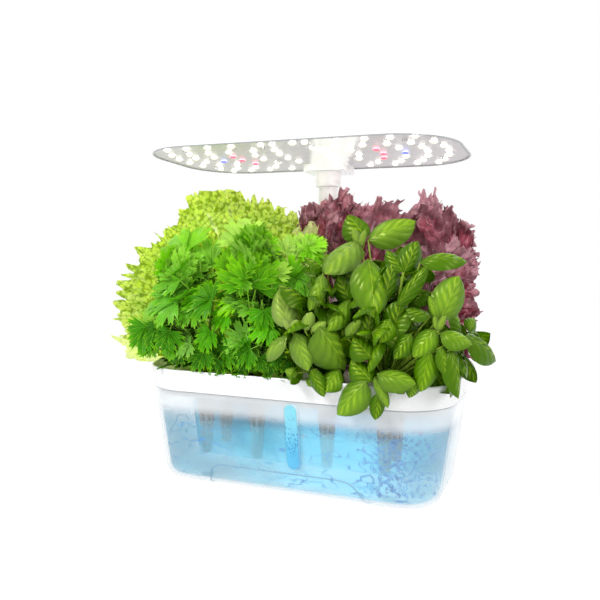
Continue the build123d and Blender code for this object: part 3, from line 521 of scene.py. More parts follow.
def matte_plastic(name, base, roughness=0.5):
    """Moulded plastic with a fine spark-eroded grain."""
    finish = Finish(name, base, roughness)
    grain = finish.noise(GRAIN, 3.0)
    finish.mottle(finish.span(grain, 0.35, 0.65), 0.85)
    finish.roughen(grain, roughness - 0.08, roughness + 0.1)
    finish.bump(grain, 0.2, 0.3)
    return finish.done()


def plated_steel(name):
    """Turned, plated steel of the small screws."""
    finish = Finish(name, STEEL, 0.3, Metallic=1.0)
    lines = finish.noise(TURNED)
    finish.roughen(lines, 0.2, 0.42)
    finish.bump(lines, 0.15, 0.2)
    return finish.done()


def circuit_green(name):
    """Solder mask with faint tracks under it."""
    finish = Finish(name, MASK_GREENS[0], 0.35, Coat_Weight=0.3)
    inputs = {"Vector": finish.place, "Scale": TRACKS}
    inputs.update(zip(("Color1", "Color2", "Mortar"), MASK_GREENS[1:]))
    tracks = finish.node("ShaderNodeTexBrick", inputs).outputs
    finish.tone = tracks["Color"]
    finish.bump(tracks["Fac"], 0.1, 0.2)
    return finish.done()


def frosted_wall():
    """Frosted tank wall: clear from straight on, milky on edge and along its rim and foot, with a
    painted glow and painted shade round the grip recess.
    """
    plastic = settings("plastic")
    finish = Finish("frosted_tank", plastic.frost, 0.34, IOR=1.46)
    grain = finish.noise(1500.0)
    finish.roughen(grain, 0.26, 0.42)
    finish.bump(grain, 0.08, 0.3)
    along, across, height = finish.axes()
    arch = recess_shade_line(finish, along, across, height)
    solid = plastic.frost_share
    for part in (
        finish.span(finish.facing(), 0.7, 0.98, 0.0, 0.5),
        finish.between(height, WALL_RIM, 0.0, 0.34),
        finish.between(height, WALL_FOOT, 0.3, 0.0),
        finish.between(finish.absolute(along), WALL_ENDS, 0.0, 0.08),
        finish.span(finish.noise(9.0), 0.3, 0.7, -0.03, 0.04),
        finish.times(arch, 0.5),
    ):
        solid = finish.sum("ADD", solid, part)
    # Painted shade: a blue-grey line along the step round the grip recess
    finish.tint(arch, ARCH_SHADE_BLUE)
    # A faint painted glow lightens the wall everywhere except on the recess's line of painted shade
    finish.glow(FROST_PAINTED_GLOW, finish.line(arch, -0.08, 0.08))
    finish.see_through(finish.sum("MINIMUM", solid, 0.96))
    return finish.done()


def recess_shade_line(finish, along, across, height):
    """A fine line of painted shade round the grip recess in the tank's front, from 0 to 1."""
    left, right = (
        finish.line(along, a, finish.line(height, b, -c * MM)) for a, b, c in ARCH_SIDES
    )
    top = finish.sum("SUBTRACT", height, ARCH_TOP * MM)
    inside = finish.sum("SMOOTH_MAX", finish.larger(left, right), top, ARCH_ROUNDING * MM)
    drawn = finish.between(finish.absolute(inside), ARCH_LINE)
    return finish.times(drawn, finish.between(across, WALL_FRONT))


def clear_window():
    """Clear strip with the water's colour and fine bubbles behind it."""
    window = settings("plastic").window
    finish = Finish("clear_window", WINDOW_BLUE, 0.12, IOR=1.46, Coat_Weight=0.4)
    along, _, height = finish.axes()
    finish.tint(finish.between(height, WINDOW_PALE), window)
    ring = finish.cells(WINDOW_BEADS, finish.stretched(1.0, 0.3, 1.0))
    rings = finish.times(finish.span(ring, 0.16, 0.26), finish.span(ring, 0.42, 0.3))
    patches = finish.times(rings, finish.span(finish.noise(55.0), 0.44, 0.56))
    speckle = finish.times(patches, finish.between(height, WINDOW_BUBBLES))
    finish.tint(speckle, settings("water").streak)
    beside = finish.absolute(finish.sum("SUBTRACT", along, WINDOW_X * MM))
    ends = finish.larger(
        finish.between(height, WINDOW_FOOT), finish.between(height, WINDOW_HEAD)
    )
    hidden = finish.larger(finish.between(beside, WINDOW_SIDES), ends)
    finish.feed("Alpha", finish.times(finish.sum("SUBTRACT", 1.0, hidden), 0.72))
    finish.bump(finish.noise(600.0), 0.05, 0.3)
    return finish.done()


def grow_sponge():
    """Porous sponge, speckled grey and brown."""
    finish = Finish("sponge_brown", settings("plastic").sponge, 0.9)
    crumbs = finish.cells(CRUMBS)
    finish.mottle(finish.span(crumbs, 0.2, 0.6), 0.3)
    finish.tint(finish.span(finish.noise(700.0, 3.0), 0.5, 0.62), CRUMB_GREY)
    finish.bump(crumbs, 0.8, 1.0)
    return finish.done()


def brushed_board():
    """Rolled aluminium under a clear lacquer, with fine lines along the lamp, a painted glow and a
    painted reflection in its middle.
    """
    sockets = {"Metallic": 0.2, "Coat_Weight": 0.2, "Coat_Roughness": 0.2}
    finish = Finish("brushed_board", settings("plastic").board, 0.3, **sockets)
    lines = finish.noise(BRUSHED, 3.0, finish.stretched(0.05, 1.0, 1.0))
    finish.mottle(finish.span(lines, 0.3, 0.7), 0.9)
    finish.roughen(lines, 0.26, 0.4)
    finish.bump(lines, 0.1, 0.2)
    along, deep, _ = finish.axes()
    # A pale strip across the middle is a painted reflection of the lit pole and plate, and the
    # whole board has a faint painted glow of the lamp's light
    a, b, c = BOARD_REFLECTION_LINE
    beside = finish.absolute(finish.line(deep, b, finish.line(along, a, -c * MM)))
    middle = finish.between(beside, BOARD_REFLECTION)
    finish.tint(middle, REFLECTION_WHITE)
    finish.glow(REFLECTION_GLOW, finish.line(middle, 0.24, 0.1))
    return finish.done()


def led_lens(name, light):
    """A domed LED: an uneven glow under a clear lens, softer to the eye than to the room."""
    finish = Finish(name, shaded(light, 0.2), 0.3)
    phosphor = finish.mix(finish.span(finish.noise(500.0), 0.3, 0.7), light, shaded(light, 0.9))
    seen = finish.node("ShaderNodeLightPath").outputs["Is Camera Ray"]
    finish.glow(phosphor, finish.span(seen, 0.0, 1.0, settings("lamp").strength, 1.0))
    return finish.done()


# The tub's outline, for the water and the bubbles


def tub_at(height):
    """Half length, half depth and corner radius of the tub at a height, in millimetres."""
    up = height / TUB_RIM_HEIGHT
    return (
        TUB_BASE_HALF_LENGTH + up * (TUB_RIM_HALF_LENGTH - TUB_BASE_HALF_LENGTH),
        TUB_BASE_HALF_DEPTH + up * (TUB_RIM_HALF_DEPTH - TUB_BASE_HALF_DEPTH),
        TUB_BASE_CORNER + up * (TUB_RIM_CORNER - TUB_BASE_CORNER),
    )


def tub_front(along, height, inset):
    """The front wall's Y in millimetres and its outward turn from -Y, at a place along it."""
    half_length, half_depth, corner = tub_at(height)
    past = abs(along) - (half_length - corner)
    if past <= 0:
        return -(half_depth - inset), 0.0
    reach = corner - inset
    past = min(past, reach)
    drop = math.sqrt(reach * reach - past * past)
    return -(half_depth - corner + drop), math.copysign(math.asin(past / reach), along)


def tub_loop(height, inset, corner_steps=10, side_steps=14):
    """Points round the tub's outline at a height, drawn in by inset, in millimetres."""
    half_length, half_depth, corner = tub_at(height)
    radius = corner - inset
    middles = [
        (half_length - corner, -(half_depth - corner), -90),
        (half_length - corner, half_depth - corner, 0),
        (-(half_length - corner), half_depth - corner, 90),
        (-(half_length - corner), -(half_depth - corner), 180),
    ]
    corners = []
    for x, y, start in middles:
        turns = np.radians(start + 90 * np.arange(corner_steps + 1) / corner_steps)
        corners.append(np.stack((x + radius * np.cos(turns), y + radius * np.sin(turns)), axis=1))
    loop = []
    for index, arc in enumerate(corners):
        following = corners[(index + 1) % len(corners)]
        loop.append(arc)
        steps = np.arange(1, side_steps)[:, None] / side_steps
        loop.append(arc[-1] + steps * (following[0] - arc[-1]))
    return np.concatenate(loop)


def ring_faces(rings, columns):
    """Four-sided faces between rings of points."""
    index = np.arange(rings * columns).reshape(rings, columns)
    ahead = np.roll(index, -1, axis=1)
    return np.stack((index[:-1], ahead[:-1], ahead[1:], index[1:]), axis=-1).reshape(-1, 4)


# Ruffles: their share of the wave, millimetres per radian along X and Y, and their shift
RUFFLES = ((0.5, 21.0, math.inf, 0.6), (0.3, 8.5, 17.0, 0.0), (0.2, -13.0, 6.0, 0.0))


def swell(x, y):
    """Height of the ruffled water over its still level, as a share of the wave."""
    return sum(part * np.sin(x / pace + y / other + shift) for part, pace, other, shift in RUFFLES)


# Leaves

POD_PLACES = {
    "parsley_1": (-112, -50), "parsley_2": (-44, -50),
    "green_lettuce_1": (-112, 0), "green_lettuce_2": (-112, 50), "green_lettuce_3": (-44, 50),
    "basil_1": (44, -50), "basil_2": (112, -50), "basil_3": (112, 0),
    "red_lettuce_1": (44, 50), "red_lettuce_2": (112, 50),
}
GOLDEN_TURN = 2.39996
# How low and how high leaves may lie
LEAF_REST = 3.0
LOWEST_LEAF = 131
LOWEST_HANGING = 90
HIGHEST_LEAF = 357.4
# A placed leaf whose tip is lower than this hangs over the rim
HANGING_BELOW = 136.0
# Radius and top of the upright columns that leaves keep clear of, and the columns' foot
POLE_COLUMN = (18.8, 1000)
CAP_COLUMN = (20.5, 172)
COLUMN_FOOT = 132.5
# Leaves in front of this Y and under this height over the rim keep this gap to the band
RIM_Y = -72
RIM_ROOM = 1.0
BAND_GAP = 1.2
# How far leaves may reach past the box of their crown, and over the neighbour at its right
SPREAD = (9, 9, 20)
HANGING_SPREAD = (35, 30, 60)
BESIDE = 34
EASED_OVER = 6
# How far the placed leaves are moved from their guessed depth to the crown's surface
SURFACE_SHARE = 0.7
# Filling leaves: where a crown's middle is, how much of a ball they cover from its top down,
# how high they start, and how near another crown covers them
CROWN_MIDDLE = 0.35
CROWN_COVER = 1.5
FILL_LOWEST = 4
COVERED_WITHIN = 20
LEAST_CURL = 0.001

BASIL_ROWS = 15
BASIL_COLUMNS = 11
BASIL_VEINS = 4.6
BASIL_SWEEP = 0.46
BASIL_WIDENED = 1.06
# The outline's scale, its powers towards foot and tip, and its least width
BASIL_OUTLINE = (2.159, 0.5, 0.62, 0.03)
BASIL_PUFF = 0.03
# The midrib's depth and width
BASIL_GROOVE = (0.035, 0.14)
PLACED_CUPS = (0.5, 0.75)
LETTUCE_ROWS = 19
LETTUCE_COLUMNS = 53
# Width at the foot, narrowing at the tip, rounding of the top, and how far the sides bend down
LETTUCE_FOOT = 0.14
LETTUCE_NARROWING = 0.12
LETTUCE_ROUNDING = 0.26
LETTUCE_BEND = 0.3
# Reach and pace of the lobes and teeth in its outline, and of the frill and folds out of it
LETTUCE_LOBES = (0.05, 8)
LETTUCE_TEETH = (0.035, 23)
LETTUCE_FRILL = (0.05, 23)
LETTUCE_FOLDS = (0.05, 5)
# How much of the crumpling the middle has, and how it is shared out to x, y and z
CRUMPLE_WITHIN = 0.15
CRUMPLE_PUSH = (0.45, 0.45, 1.0)
GREEN_CRUMPLE = 0.075
RED_CRUMPLE = 0.07
CRUMPLE_WAVES = 9
CRUMPLE_LENGTHS = (0.1, 0.24)
# Parsley leaflet, from its tip round to its foot: degrees from the middle, and share of its length
PARSLEY_OUTLINE_SHARES = (
    (0, 1.0), (7, 0.84), (13, 0.92), (20, 0.6), (24, 0.58), (31, 0.86), (37, 0.76), (43, 0.86),
    (51, 0.52), (60, 0.7), (69, 0.52), (86, 0.12),
)
PARSLEY_RINGS = (0.03, 0.36, 0.7, 1.0)
PARSLEY_NARROWED = 0.72
# Parsley leaflets beside the middle one: their length and foot as shares, and their lean
PARSLEY_SIDE = (0.6, 0.3, 1.05)
PARSLEY_MIDDLE = (0.66, 0.34)
PARSLEY_STALK = (0.008, 0.46)
PARSLEY_FOLD = 0.1
PARSLEY_DROOPS = (0.08, 0.2)


# A blade is a list of sheets of unit length: grids of x, y and z, and of the place on the leaf


def basil_blade(width, cup):
    """An oval, pointed leaf, with its edges rolled down and raised between its veins."""
    along = np.linspace(0, 1, BASIL_ROWS)[:, None]
    across = np.linspace(-1, 1, BASIL_COLUMNS)[None, :]
    scale, footwards, tipwards, least = BASIL_OUTLINE
    outline = np.maximum(scale * along**footwards * (1 - along) ** tipwards, least)
    half = width / 2 * outline
    x = half * across
    phase = BASIL_VEINS * (along - BASIL_SWEEP * np.abs(across))
    puff = BASIL_PUFF * np.abs(np.sin(math.pi * phase)) * (1 - across**4) * outline
    depth, spread = BASIL_GROOVE
    groove = -depth * np.exp(-((across / spread) ** 2)) * outline
    z = puff + groove - cup * half * across**2
    return [(x, along + 0 * x, z, along + 0 * x, across + 0 * x)]


def placed_basil_blade(width, draws):
    """A basil leaf with a cup drawn at random."""
    return basil_blade(BASIL_WIDENED * width, draws.uniform(*PLACED_CUPS))


def crumple(sheet, share_out, reach, draws):
    """Pushes a blade about in rounded folds, by reach where share_out is 1."""
    x, y = sheet[:2]
    shift = [0, 0, 0]
    for _ in range(CRUMPLE_WAVES):
        heading, phase = draws.uniform(0, 2 * math.pi, 2)
        pace = 2 * math.pi / draws.uniform(*CRUMPLE_LENGTHS)
        wave = np.sin(pace * (x * math.cos(heading) + y * math.sin(heading)) + phase)
        push = draws.normal(0, 1, 3) * CRUMPLE_PUSH * reach / math.sqrt(CRUMPLE_WAVES)
        shift = [moved + part * wave for moved, part in zip(shift, push)]
    return [part + share_out * moved for part, moved in zip(sheet, shift)]


def lettuce_blade(width, reach, draws):
    """A fan-shaped leaf of length 1, the more crumpled the nearer to its frilled edge."""
    along = (np.linspace(0, 1, LETTUCE_ROWS) ** 0.9)[:, None]
    across = np.linspace(-1, 1, LETTUCE_COLUMNS)[None, :]
    fan = LETTUCE_FOOT + (1 - LETTUCE_FOOT) * along**0.7
    half = width / 2 * fan * (1 - LETTUCE_NARROWING * along**6)
    edge = np.maximum(along**1.6, np.abs(across) ** 3 * along)
    slow, quick = draws.uniform(0, 2 * math.pi, 2)

    def wave(form, start):
        return form[0] * np.sin(form[1] * across + start)

    lobes = edge * wave(LETTUCE_LOBES, slow) + edge**3 * wave(LETTUCE_TEETH, quick)
    x = half * across
    y = along * (1 - LETTUCE_ROUNDING * across**2 * along + lobes)
    frill = edge**3 * wave(LETTUCE_FRILL, slow + 4 * along)
    z = along**2 * wave(LETTUCE_FOLDS, quick) - LETTUCE_BEND * half * across**2 + frill
    share_out = CRUMPLE_WITHIN + (1 - CRUMPLE_WITHIN) * edge
    x, y, z = crumple((x, y, z), share_out, reach, draws)
    return [(x, y, z, along + 0 * x, across + 0 * x)]


def green_lettuce_blade(width, draws):
    """A blade of the green lettuce."""
    return lettuce_blade(width, GREEN_CRUMPLE, draws)


def red_lettuce_blade(width, draws):
    """A blade of the red lettuce."""
    return lettuce_blade(width, RED_CRUMPLE, draws)


def parsley_leaflet(size, foot, lean, droop):
    """One toothed leaflet as a fan of rings round its foot."""
    degrees, reach = np.array(PARSLEY_OUTLINE_SHARES, float).T
    degrees = np.concatenate((-degrees[:0:-1], degrees))
    reach = np.concatenate((reach[:0:-1], reach))
    turns = np.radians(degrees * PARSLEY_NARROWED)[None, :]
    rings = np.array(PARSLEY_RINGS)[:, None]
    radius = size * rings * reach[None, :]
    heading = turns + lean
    x = radius * np.sin(heading)
    y = foot + radius * np.cos(heading)
    fold = PARSLEY_FOLD * size * rings * np.abs(np.sin(turns * 2.0))
    z = fold - droop * size * (radius / size) ** 2
    return x, y, z, rings + 0 * x, turns / 1.4 + 0 * x


def parsley_blade(width, draws):
    """A leaf of length 1 with a middle leaflet and two at its sides."""
    droop = draws.uniform(*PARSLEY_DROOPS)
    half, top = PARSLEY_STALK
    stalk_x = np.array((-half, half))[None, :] + 0 * np.zeros((5, 1))
    stalk_y = np.linspace(0, top, 5)[:, None] + 0 * stalk_x
    length, foot, lean = PARSLEY_SIDE
    return [
        (stalk_x, stalk_y, 0 * stalk_x, 0 * stalk_x, 0 * stalk_x),
        parsley_leaflet(PARSLEY_MIDDLE[0], PARSLEY_MIDDLE[1], 0.0, droop),
        parsley_leaflet(length * width, foot, -lean, droop),
        parsley_leaflet(length * width, foot, lean, droop),
    ]


class Foliage:
    """The blades and stalks of one plant, gathered into one mesh."""

    def __init__(self):
        self.points = []
        self.faces = []
        self.blade_places = []
        self.tints = []
        self.count = 0

    def add_sheet(self, points, along, across, tint, closed=False):
        """Adds a grid of points with its place on the blade and its tint."""
        rows, columns = points.shape[:2]
        index = np.arange(rows * columns).reshape(rows, columns) + self.count
        if closed:
            index = np.concatenate((index, index[:, :1]), axis=1)
        corners = (index[:-1, :-1], index[:-1, 1:], index[1:, 1:], index[1:, :-1])
        self.points.append(points.reshape(-1, 3))
        self.faces.append(np.stack(corners, axis=-1).reshape(-1, 4))
        place = np.stack((along, across, 0 * along), axis=-1)
        self.blade_places.append(place.reshape(-1, 3))
        self.tints.append(np.tile(np.array((*tint, 1.0)), (rows * columns, 1)))
        self.count += rows * columns

    def add_blade(self, blade, base, heading, face, size, curl, tint):
        """Lays a blade of unit length out from its base, curled away from its face."""
        heading = heading.normalized()
        right = heading.cross(face).normalized()
        turned = np.array((right, heading, right.cross(heading)))
        curl = curl if abs(curl) > LEAST_CURL else LEAST_CURL
        for x, y, z, along, across in blade:
            bend = curl * y
            forward = np.sin(bend) / curl + z * np.sin(bend)
            outward = (np.cos(bend) - 1) / curl + z * np.cos(bend)
            local = np.stack((x, forward, outward), axis=-1)
            self.add_sheet(np.array(base) + size * local @ turned, along, across, tint)

    def add_between(self, blade, base, tip, face, curl, tint):
        """Lays a blade from its base to its tip."""
        chord = tip - base
        heading = chord.normalized()
        right = heading.cross(face).normalized()
        normal = right.cross(heading)
        half = curl / 2
        size = chord.length * (half / math.sin(half) if abs(half) > LEAST_CURL else 1.0)
        start = heading * math.cos(half) + normal * math.sin(half)
        self.add_blade(blade, base, start, normal, size, curl, tint)

    def add_stalk(self, points, radii, tint, sides=6):
        """A round stalk along a line of points, with its radii at both ends in millimetres."""
        turns = np.arange(sides) * 2 * math.pi / sides
        radius, tip_radius = radii[0] * MM, radii[1] * MM
        rings = []
        for index, point in enumerate(points):
            before = points[max(index - 1, 0)]
            after = points[min(index + 1, len(points) - 1)]
            along = (after - before).normalized()
            side = along.cross(Vector((0.3, 1, 0.1))).normalized()
            other = along.cross(side)
            reach = radius + (tip_radius - radius) * index / (len(points) - 1)
            rings.append([
                point + reach * (side * math.cos(t) + other * math.sin(t)) for t in turns
            ])
        grid = np.array(rings)
        flat = np.zeros(grid.shape[:2])
        self.add_sheet(grid, flat, flat, tint, closed=True)

    def build(self, name, node, material, slot, lowest=LOWEST_LEAF, spread=SPREAD, right=-1.0):
        """Makes the plant's mesh, keeps it clear of pole, cap and rim, and puts it on the deck."""
        low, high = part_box(node)
        wide, deep, tall = (part * MM for part in spread)
        points = np.concatenate(self.points)
        points = clear_column(points, POLE_PLACE, *POLE_COLUMN)
        points = clear_column(points, CAP_PLACE, *CAP_COLUMN)
        points = clear_rim(points)
        bottom = np.array((low.x - wide, low.y - deep, lowest * MM))
        highest = min(high.z + tall, HIGHEST_LEAF * MM)
        top = np.array((max(high.x + wide, right), high.y + deep, highest))
        points = hold_below(points, top)
        points = -hold_below(-points, -bottom)
        piece = add_object(name, points, np.concatenate(self.faces), material)
        for store, kind, field, values in (
            ("blade_place", "FLOAT_VECTOR", "vector", self.blade_places),
            ("tint", "FLOAT_COLOR", "color", self.tints),
        ):
            made = piece.data.attributes.new(store, kind, "POINT")
            made.data.foreach_set(field, np.concatenate(values).astype(np.float32).ravel())
        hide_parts(node)
        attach(piece, "deck")


def hold_below(points, limit):
    """Eases points in under a limit, without a flat cut."""
    band = EASED_OVER * MM
    over = np.maximum(points - (limit - band), 0)
    return np.where(over > 0, limit - band * np.exp(-over / band), points)


def clear_column(points, place, radius, top):
    """Pushes leaf points out of an upright column."""
    away = points[:, :2] - np.array(place) * MM
    distance = np.maximum(np.linalg.norm(away, axis=1), 1e-6)
    height = points[:, 2] / MM
    near = (distance < radius * MM) & (height < top) & (height > COLUMN_FOOT)
    out = away[near] / distance[near, None] * radius * MM
    points[near, :2] = np.array(place) * MM + out
    return points


def clear_rim(points):
    """Keeps what hangs over the front in front of the band."""
    height = points[:, 2] / MM
    front = -tub_at(height)[1]
    low = (height < TUB_RIM_HEIGHT + RIM_ROOM) & (points[:, 1] < RIM_Y * MM)
    points[low, 1] = np.minimum(points[low, 1], (front[low] - BAND_GAP) * MM)
    return points


def camera_axes():
    """The camera's place and its right, up and back directions."""
    view = settings("view")
    azimuth, elevation = view.camera_azimuth, view.camera_elevation
    back = Vector((
        math.sin(azimuth) * math.cos(elevation),
        -math.cos(azimuth) * math.cos(elevation),
        math.sin(elevation),
    ))
    right = Vector((math.cos(azimuth), math.sin(azimuth), 0))
    return Vector(view.camera_place), right, back.cross(right), back


def per_pixel():
    """How far one pixel of the picture reaches at a distance of 1."""
    return SENSOR_WIDTH / PICTURE_SIDE / settings("view").camera_lens


def crown_tree(*names):
    """A search tree over the solids of some crowns."""
    points = []
    faces = []
    for name in names:
        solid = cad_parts[name]
        start = len(points)
        points += [solid.matrix_world @ vertex.co for vertex in solid.data.vertices]
        faces += [[start + corner for corner in face.vertices] for face in solid.data.polygons]
    return BVHTree.FromPolygons(points, faces)


def sight(pixel, depth, tree):
    """The point seen at a pixel, between a guessed Y in millimetres and the crown's surface."""
    place, right, up, back = camera_axes()
    across = (pixel[0] - PICTURE_SIDE / 2) * per_pixel()
    above = (PICTURE_SIDE / 2 - pixel[1]) * per_pixel()
    ray = right * across + up * above - back
    depth = depth * MM
    hit = tree.ray_cast(place, ray.normalized())[0]
    if hit is not None:
        depth += SURFACE_SHARE * (hit.y - depth)
    return place + ray * ((depth - place.y) / ray.y)


def crown_targets(name, count, draws):
    """Places on a crown's surface that no other covers, the way out and how far it faces us."""
    low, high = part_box(name)
    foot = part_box("grow_deck")[1].z + LEAF_REST * MM
    middle_z = foot + CROWN_MIDDLE * (high.z - foot)
    middle = Vector(((low.x + high.x) / 2, (low.y + high.y) / 2, middle_z))
    reach = Vector(((high.x - low.x) / 2, (high.y - low.y) / 2, high.z - middle.z))
    own = crown_tree(name)
    neighbours = crown_tree(*(other for other in POD_PLACES if other != name))
    targets = []
    for index in range(count):
        height = 1 - (index + 0.5) / count * CROWN_COVER
        around = index * GOLDEN_TURN + draws.uniform(-0.3, 0.3)
        flat = math.sqrt(max(1 - height * height, 0))
        x, y = flat * math.cos(around) * reach.x, flat * math.sin(around) * reach.y
        way = Vector((x, y, height * reach.z)).normalized()
        hit, normal = own.ray_cast(middle, way)[:2]
        if hit is None or hit.z < foot + FILL_LOWEST * MM:
            continue
        if neighbours.ray_cast(hit + way * MM, way, COVERED_WITHIN * MM)[0] is not None:
            continue
        if normal.dot(way) < 0:
            normal = -normal
        outward = (normal + way).normalized()
        targets.append((hit, outward, max(outward.dot(camera_axes()[3]), 0)))
    return targets


# One leaf placed by the picture: where its foot and its tip show, how deep they lie (the Y in
# millimetres), its width as a share of its length, which way it faces (right, up, towards the
# camera), how far it curls, how far it goes from the shade colour to that of new and lit leaves
# (partly painted light and shade) and how pale it is, from 0 to 1
PlacedLeaf = namedtuple(
    "PlacedLeaf", "foot tip depths width face curl young pale", defaults=(0.0,)
)

BASIL_LEAVES = (
    ((366, 238), (349, 215), (-24, -14), 0.95, (0, 0.5, 1), 0.3, 0.15),
    ((368, 240), (416, 221), (-30, -22), 0.62, (-0.1, 0.6, 1), 0.5, 0.75, 0.1),
    ((357, 241), (325, 274), (-34, -50), 0.56, (-0.4, 0.6, 1), 0.7, 0.45, 0.2),
    ((361, 247), (352, 229), (-34, -34), 0.5, (-0.6, 0.2, 1), 0.2, 0.95, 0.3),
    ((361, 247), (366, 230), (-36, -34), 0.5, (0.6, 0.2, 1), 0.2, 0.95, 0.3),
    ((361, 248), (361, 258), (-38, -44), 0.7, (0, 0.2, 1), 0.4, 0.85, 0.1),
    ((368, 259), (374, 318), (-46, -72), 0.6, (0.15, 0.45, 1), 0.9, 0.5, 0.05),
    ((356, 262), (348, 297), (-40, -52), 0.5, (-0.7, 0.2, 1), 0.6, 0.3),
    ((323, 274), (309, 311), (-62, -78), 0.42, (-0.3, 0.3, 1), 0.5, 0.4, 0.1),
    ((289, 327), (279, 290), (-84, -90), 0.6, (0.1, 0.1, 1), 0.3, 0.75, 0.45),
    ((350, 300), (327, 331), (-64, -84), 0.55, (-0.4, 0.4, 1), 0.5, 0.4, 0.05),
    ((420, 263), (467, 262), (-20, -26), 0.52, (0, 0.75, 0.6), 1.3, 0.25),
    ((404, 272), (418, 241), (-14, -6), 0.66, (0.2, 0.4, 1), 0.4, 0.1),
    ((397, 306), (427, 266), (-42, -30), 0.34, (-0.5, 0.5, 1), 0.3, 0.1),
    ((403, 272), (387, 250), (-16, -10), 0.6, (0, 0.5, 1), 0.4, 0.1),
    ((440, 320), (459, 276), (-58, -48), 0.66, (0.1, 0.2, 1), 0.4, 0.6, 0.1),
    ((439, 320), (429, 296), (-60, -56), 0.44, (-0.6, 0.2, 1), 0.2, 0.7, 0.1),
    ((430, 316), (406, 309), (-50, -58), 0.8, (0, 0.9, 0.7), 0.5, 0.05),
    ((390, 319), (380, 343), (-62, -76), 0.82, (-0.2, 0.5, 1), 1.0, 0.4),
    ((411, 334), (394, 359), (-72, -90), 0.66, (-0.3, 0.5, 1), 0.8, 0.15),
    ((435, 330), (413, 357), (-76, -94), 0.68, (-0.3, 0.5, 1), 0.7, 0.5, 0.05),
    ((440, 333), (472, 345), (-74, -84), 0.78, (0.2, 0.8, 0.8), 1.0, 0.6, 0.05),
    ((467, 336), (496, 361), (-60, -70), 0.6, (0.3, 0.7, 0.9), 0.8, 0.15),
    ((438, 331), (434, 316), (-76, -76), 0.5, (-0.5, 0.1, 1), 0.2, 0.95, 0.2),
    ((439, 331), (446, 315), (-78, -76), 0.5, (0.5, 0.1, 1), 0.2, 0.95, 0.2),
    ((430, 352), (420, 392), (-92, -104), 0.52, (-0.3, 0.3, 1), 0.6, 0.45),
    ((452, 350), (461, 399), (-86, -102), 0.5, (0.5, 0.3, 1), 0.5, 0.2),
    ((442, 347), (445, 375), (-90, -100), 0.5, (0.2, 0.3, 1), 0.4, 0.25),
    ((377, 374), (416, 384), (-94, -106), 0.64, (0.0, 0.7, 0.9), 0.8, 0.65, 0.1),
    ((374, 378), (388, 408), (-98, -106), 0.36, (-0.6, 0.3, 1), 0.3, 0.7, 0.15),
    ((379, 394), (375, 420), (-101, -104), 0.56, (-0.1, 0.1, 1), 0.3, 0.15),
    ((287, 337), (259, 356), (-86, -98), 0.7, (-0.2, 0.8, 0.6), 0.5, 0.55, 0.3),
    ((295, 333), (308, 371), (-92, -104), 0.56, (-0.2, 0.4, 1), 0.6, 0.6, 0.2),
    ((319, 327), (345, 370), (-90, -108), 0.72, (0.1, 0.5, 1), 0.8, 0.6, 0.1),
    ((340, 369), (324, 392), (-92, -102), 0.8, (-0.2, 0.4, 1), 0.8, 0.4, 0.05),
    ((311, 370), (324, 397), (-92, -102), 0.5, (-0.4, 0.2, 1), 0.5, 0.2),
    ((298, 373), (285, 370), (-84, -90), 0.95, (0, 0.5, 1), 0.6, 0.6, 0.1),
    ((371, 358), (353, 338), (-78, -82), 0.9, (0, 0.5, 1), 0.6, 0.15),
    ((372, 382), (351, 360), (-88, -92), 0.8, (-0.1, 0.5, 1), 0.6, 0.2),
    ((366, 381), (337, 415), (-95, -108), 0.66, (-0.3, 0.5, 1), 0.6, 0.5, 0.1),
    ((348, 339), (360, 320), (-84, -80), 0.45, (0.4, 0.2, 1), 0.2, 0.9, 0.25),
    ((372, 332), (386, 330), (-72, -78), 0.8, (0, 0.6, 1), 0.5, 0.7, 0.1),
    ((290, 330), (283, 319), (-86, -86), 0.6, (-0.5, 0.3, 1), 0.2, 1.0, 0.6),
    ((291, 331), (298, 320), (-88, -86), 0.6, (0.4, 0.3, 1), 0.2, 1.0, 0.6),
    ((305, 331), (312, 312), (-86, -82), 0.6, (0.1, 0.2, 1), 0.3, 0.95, 0.4),
    ((311, 331), (326, 322), (-86, -84), 0.6, (0.2, 0.5, 1), 0.4, 0.9, 0.3),
    ((404, 396), (399, 386), (-98, -99), 0.8, (0, 0.4, 1), 0.4, 0.2),
    ((415, 384), (409, 398), (-99, -101), 0.8, (0, 0.2, 1), 0.4, 0.2),
    ((352, 304), (338, 276), (-30, -26), 0.7, (-0.2, 0.4, 1), 0.5, 0.05),
    ((360, 296), (350, 258), (-24, -20), 0.6, (-0.2, 0.4, 1), 0.5, 0.0),
    ((384, 300), (394, 262), (-24, -16), 0.6, (0.2, 0.4, 1), 0.5, 0.0),
    ((356, 330), (336, 312), (-40, -44), 0.7, (-0.2, 0.5, 1), 0.5, 0.1),
    ((392, 332), (402, 300), (-34, -30), 0.7, (0.2, 0.4, 1), 0.5, 0.0),
    ((366, 340), (372, 310), (-44, -44), 0.8, (0, 0.4, 1), 0.5, 0.0),
    ((340, 345), (352, 322), (-50, -50), 0.8, (0.1, 0.4, 1), 0.5, 0.05),
    ((400, 350), (392, 322), (-50, -50), 0.8, (0, 0.4, 1), 0.5, 0.05),
)

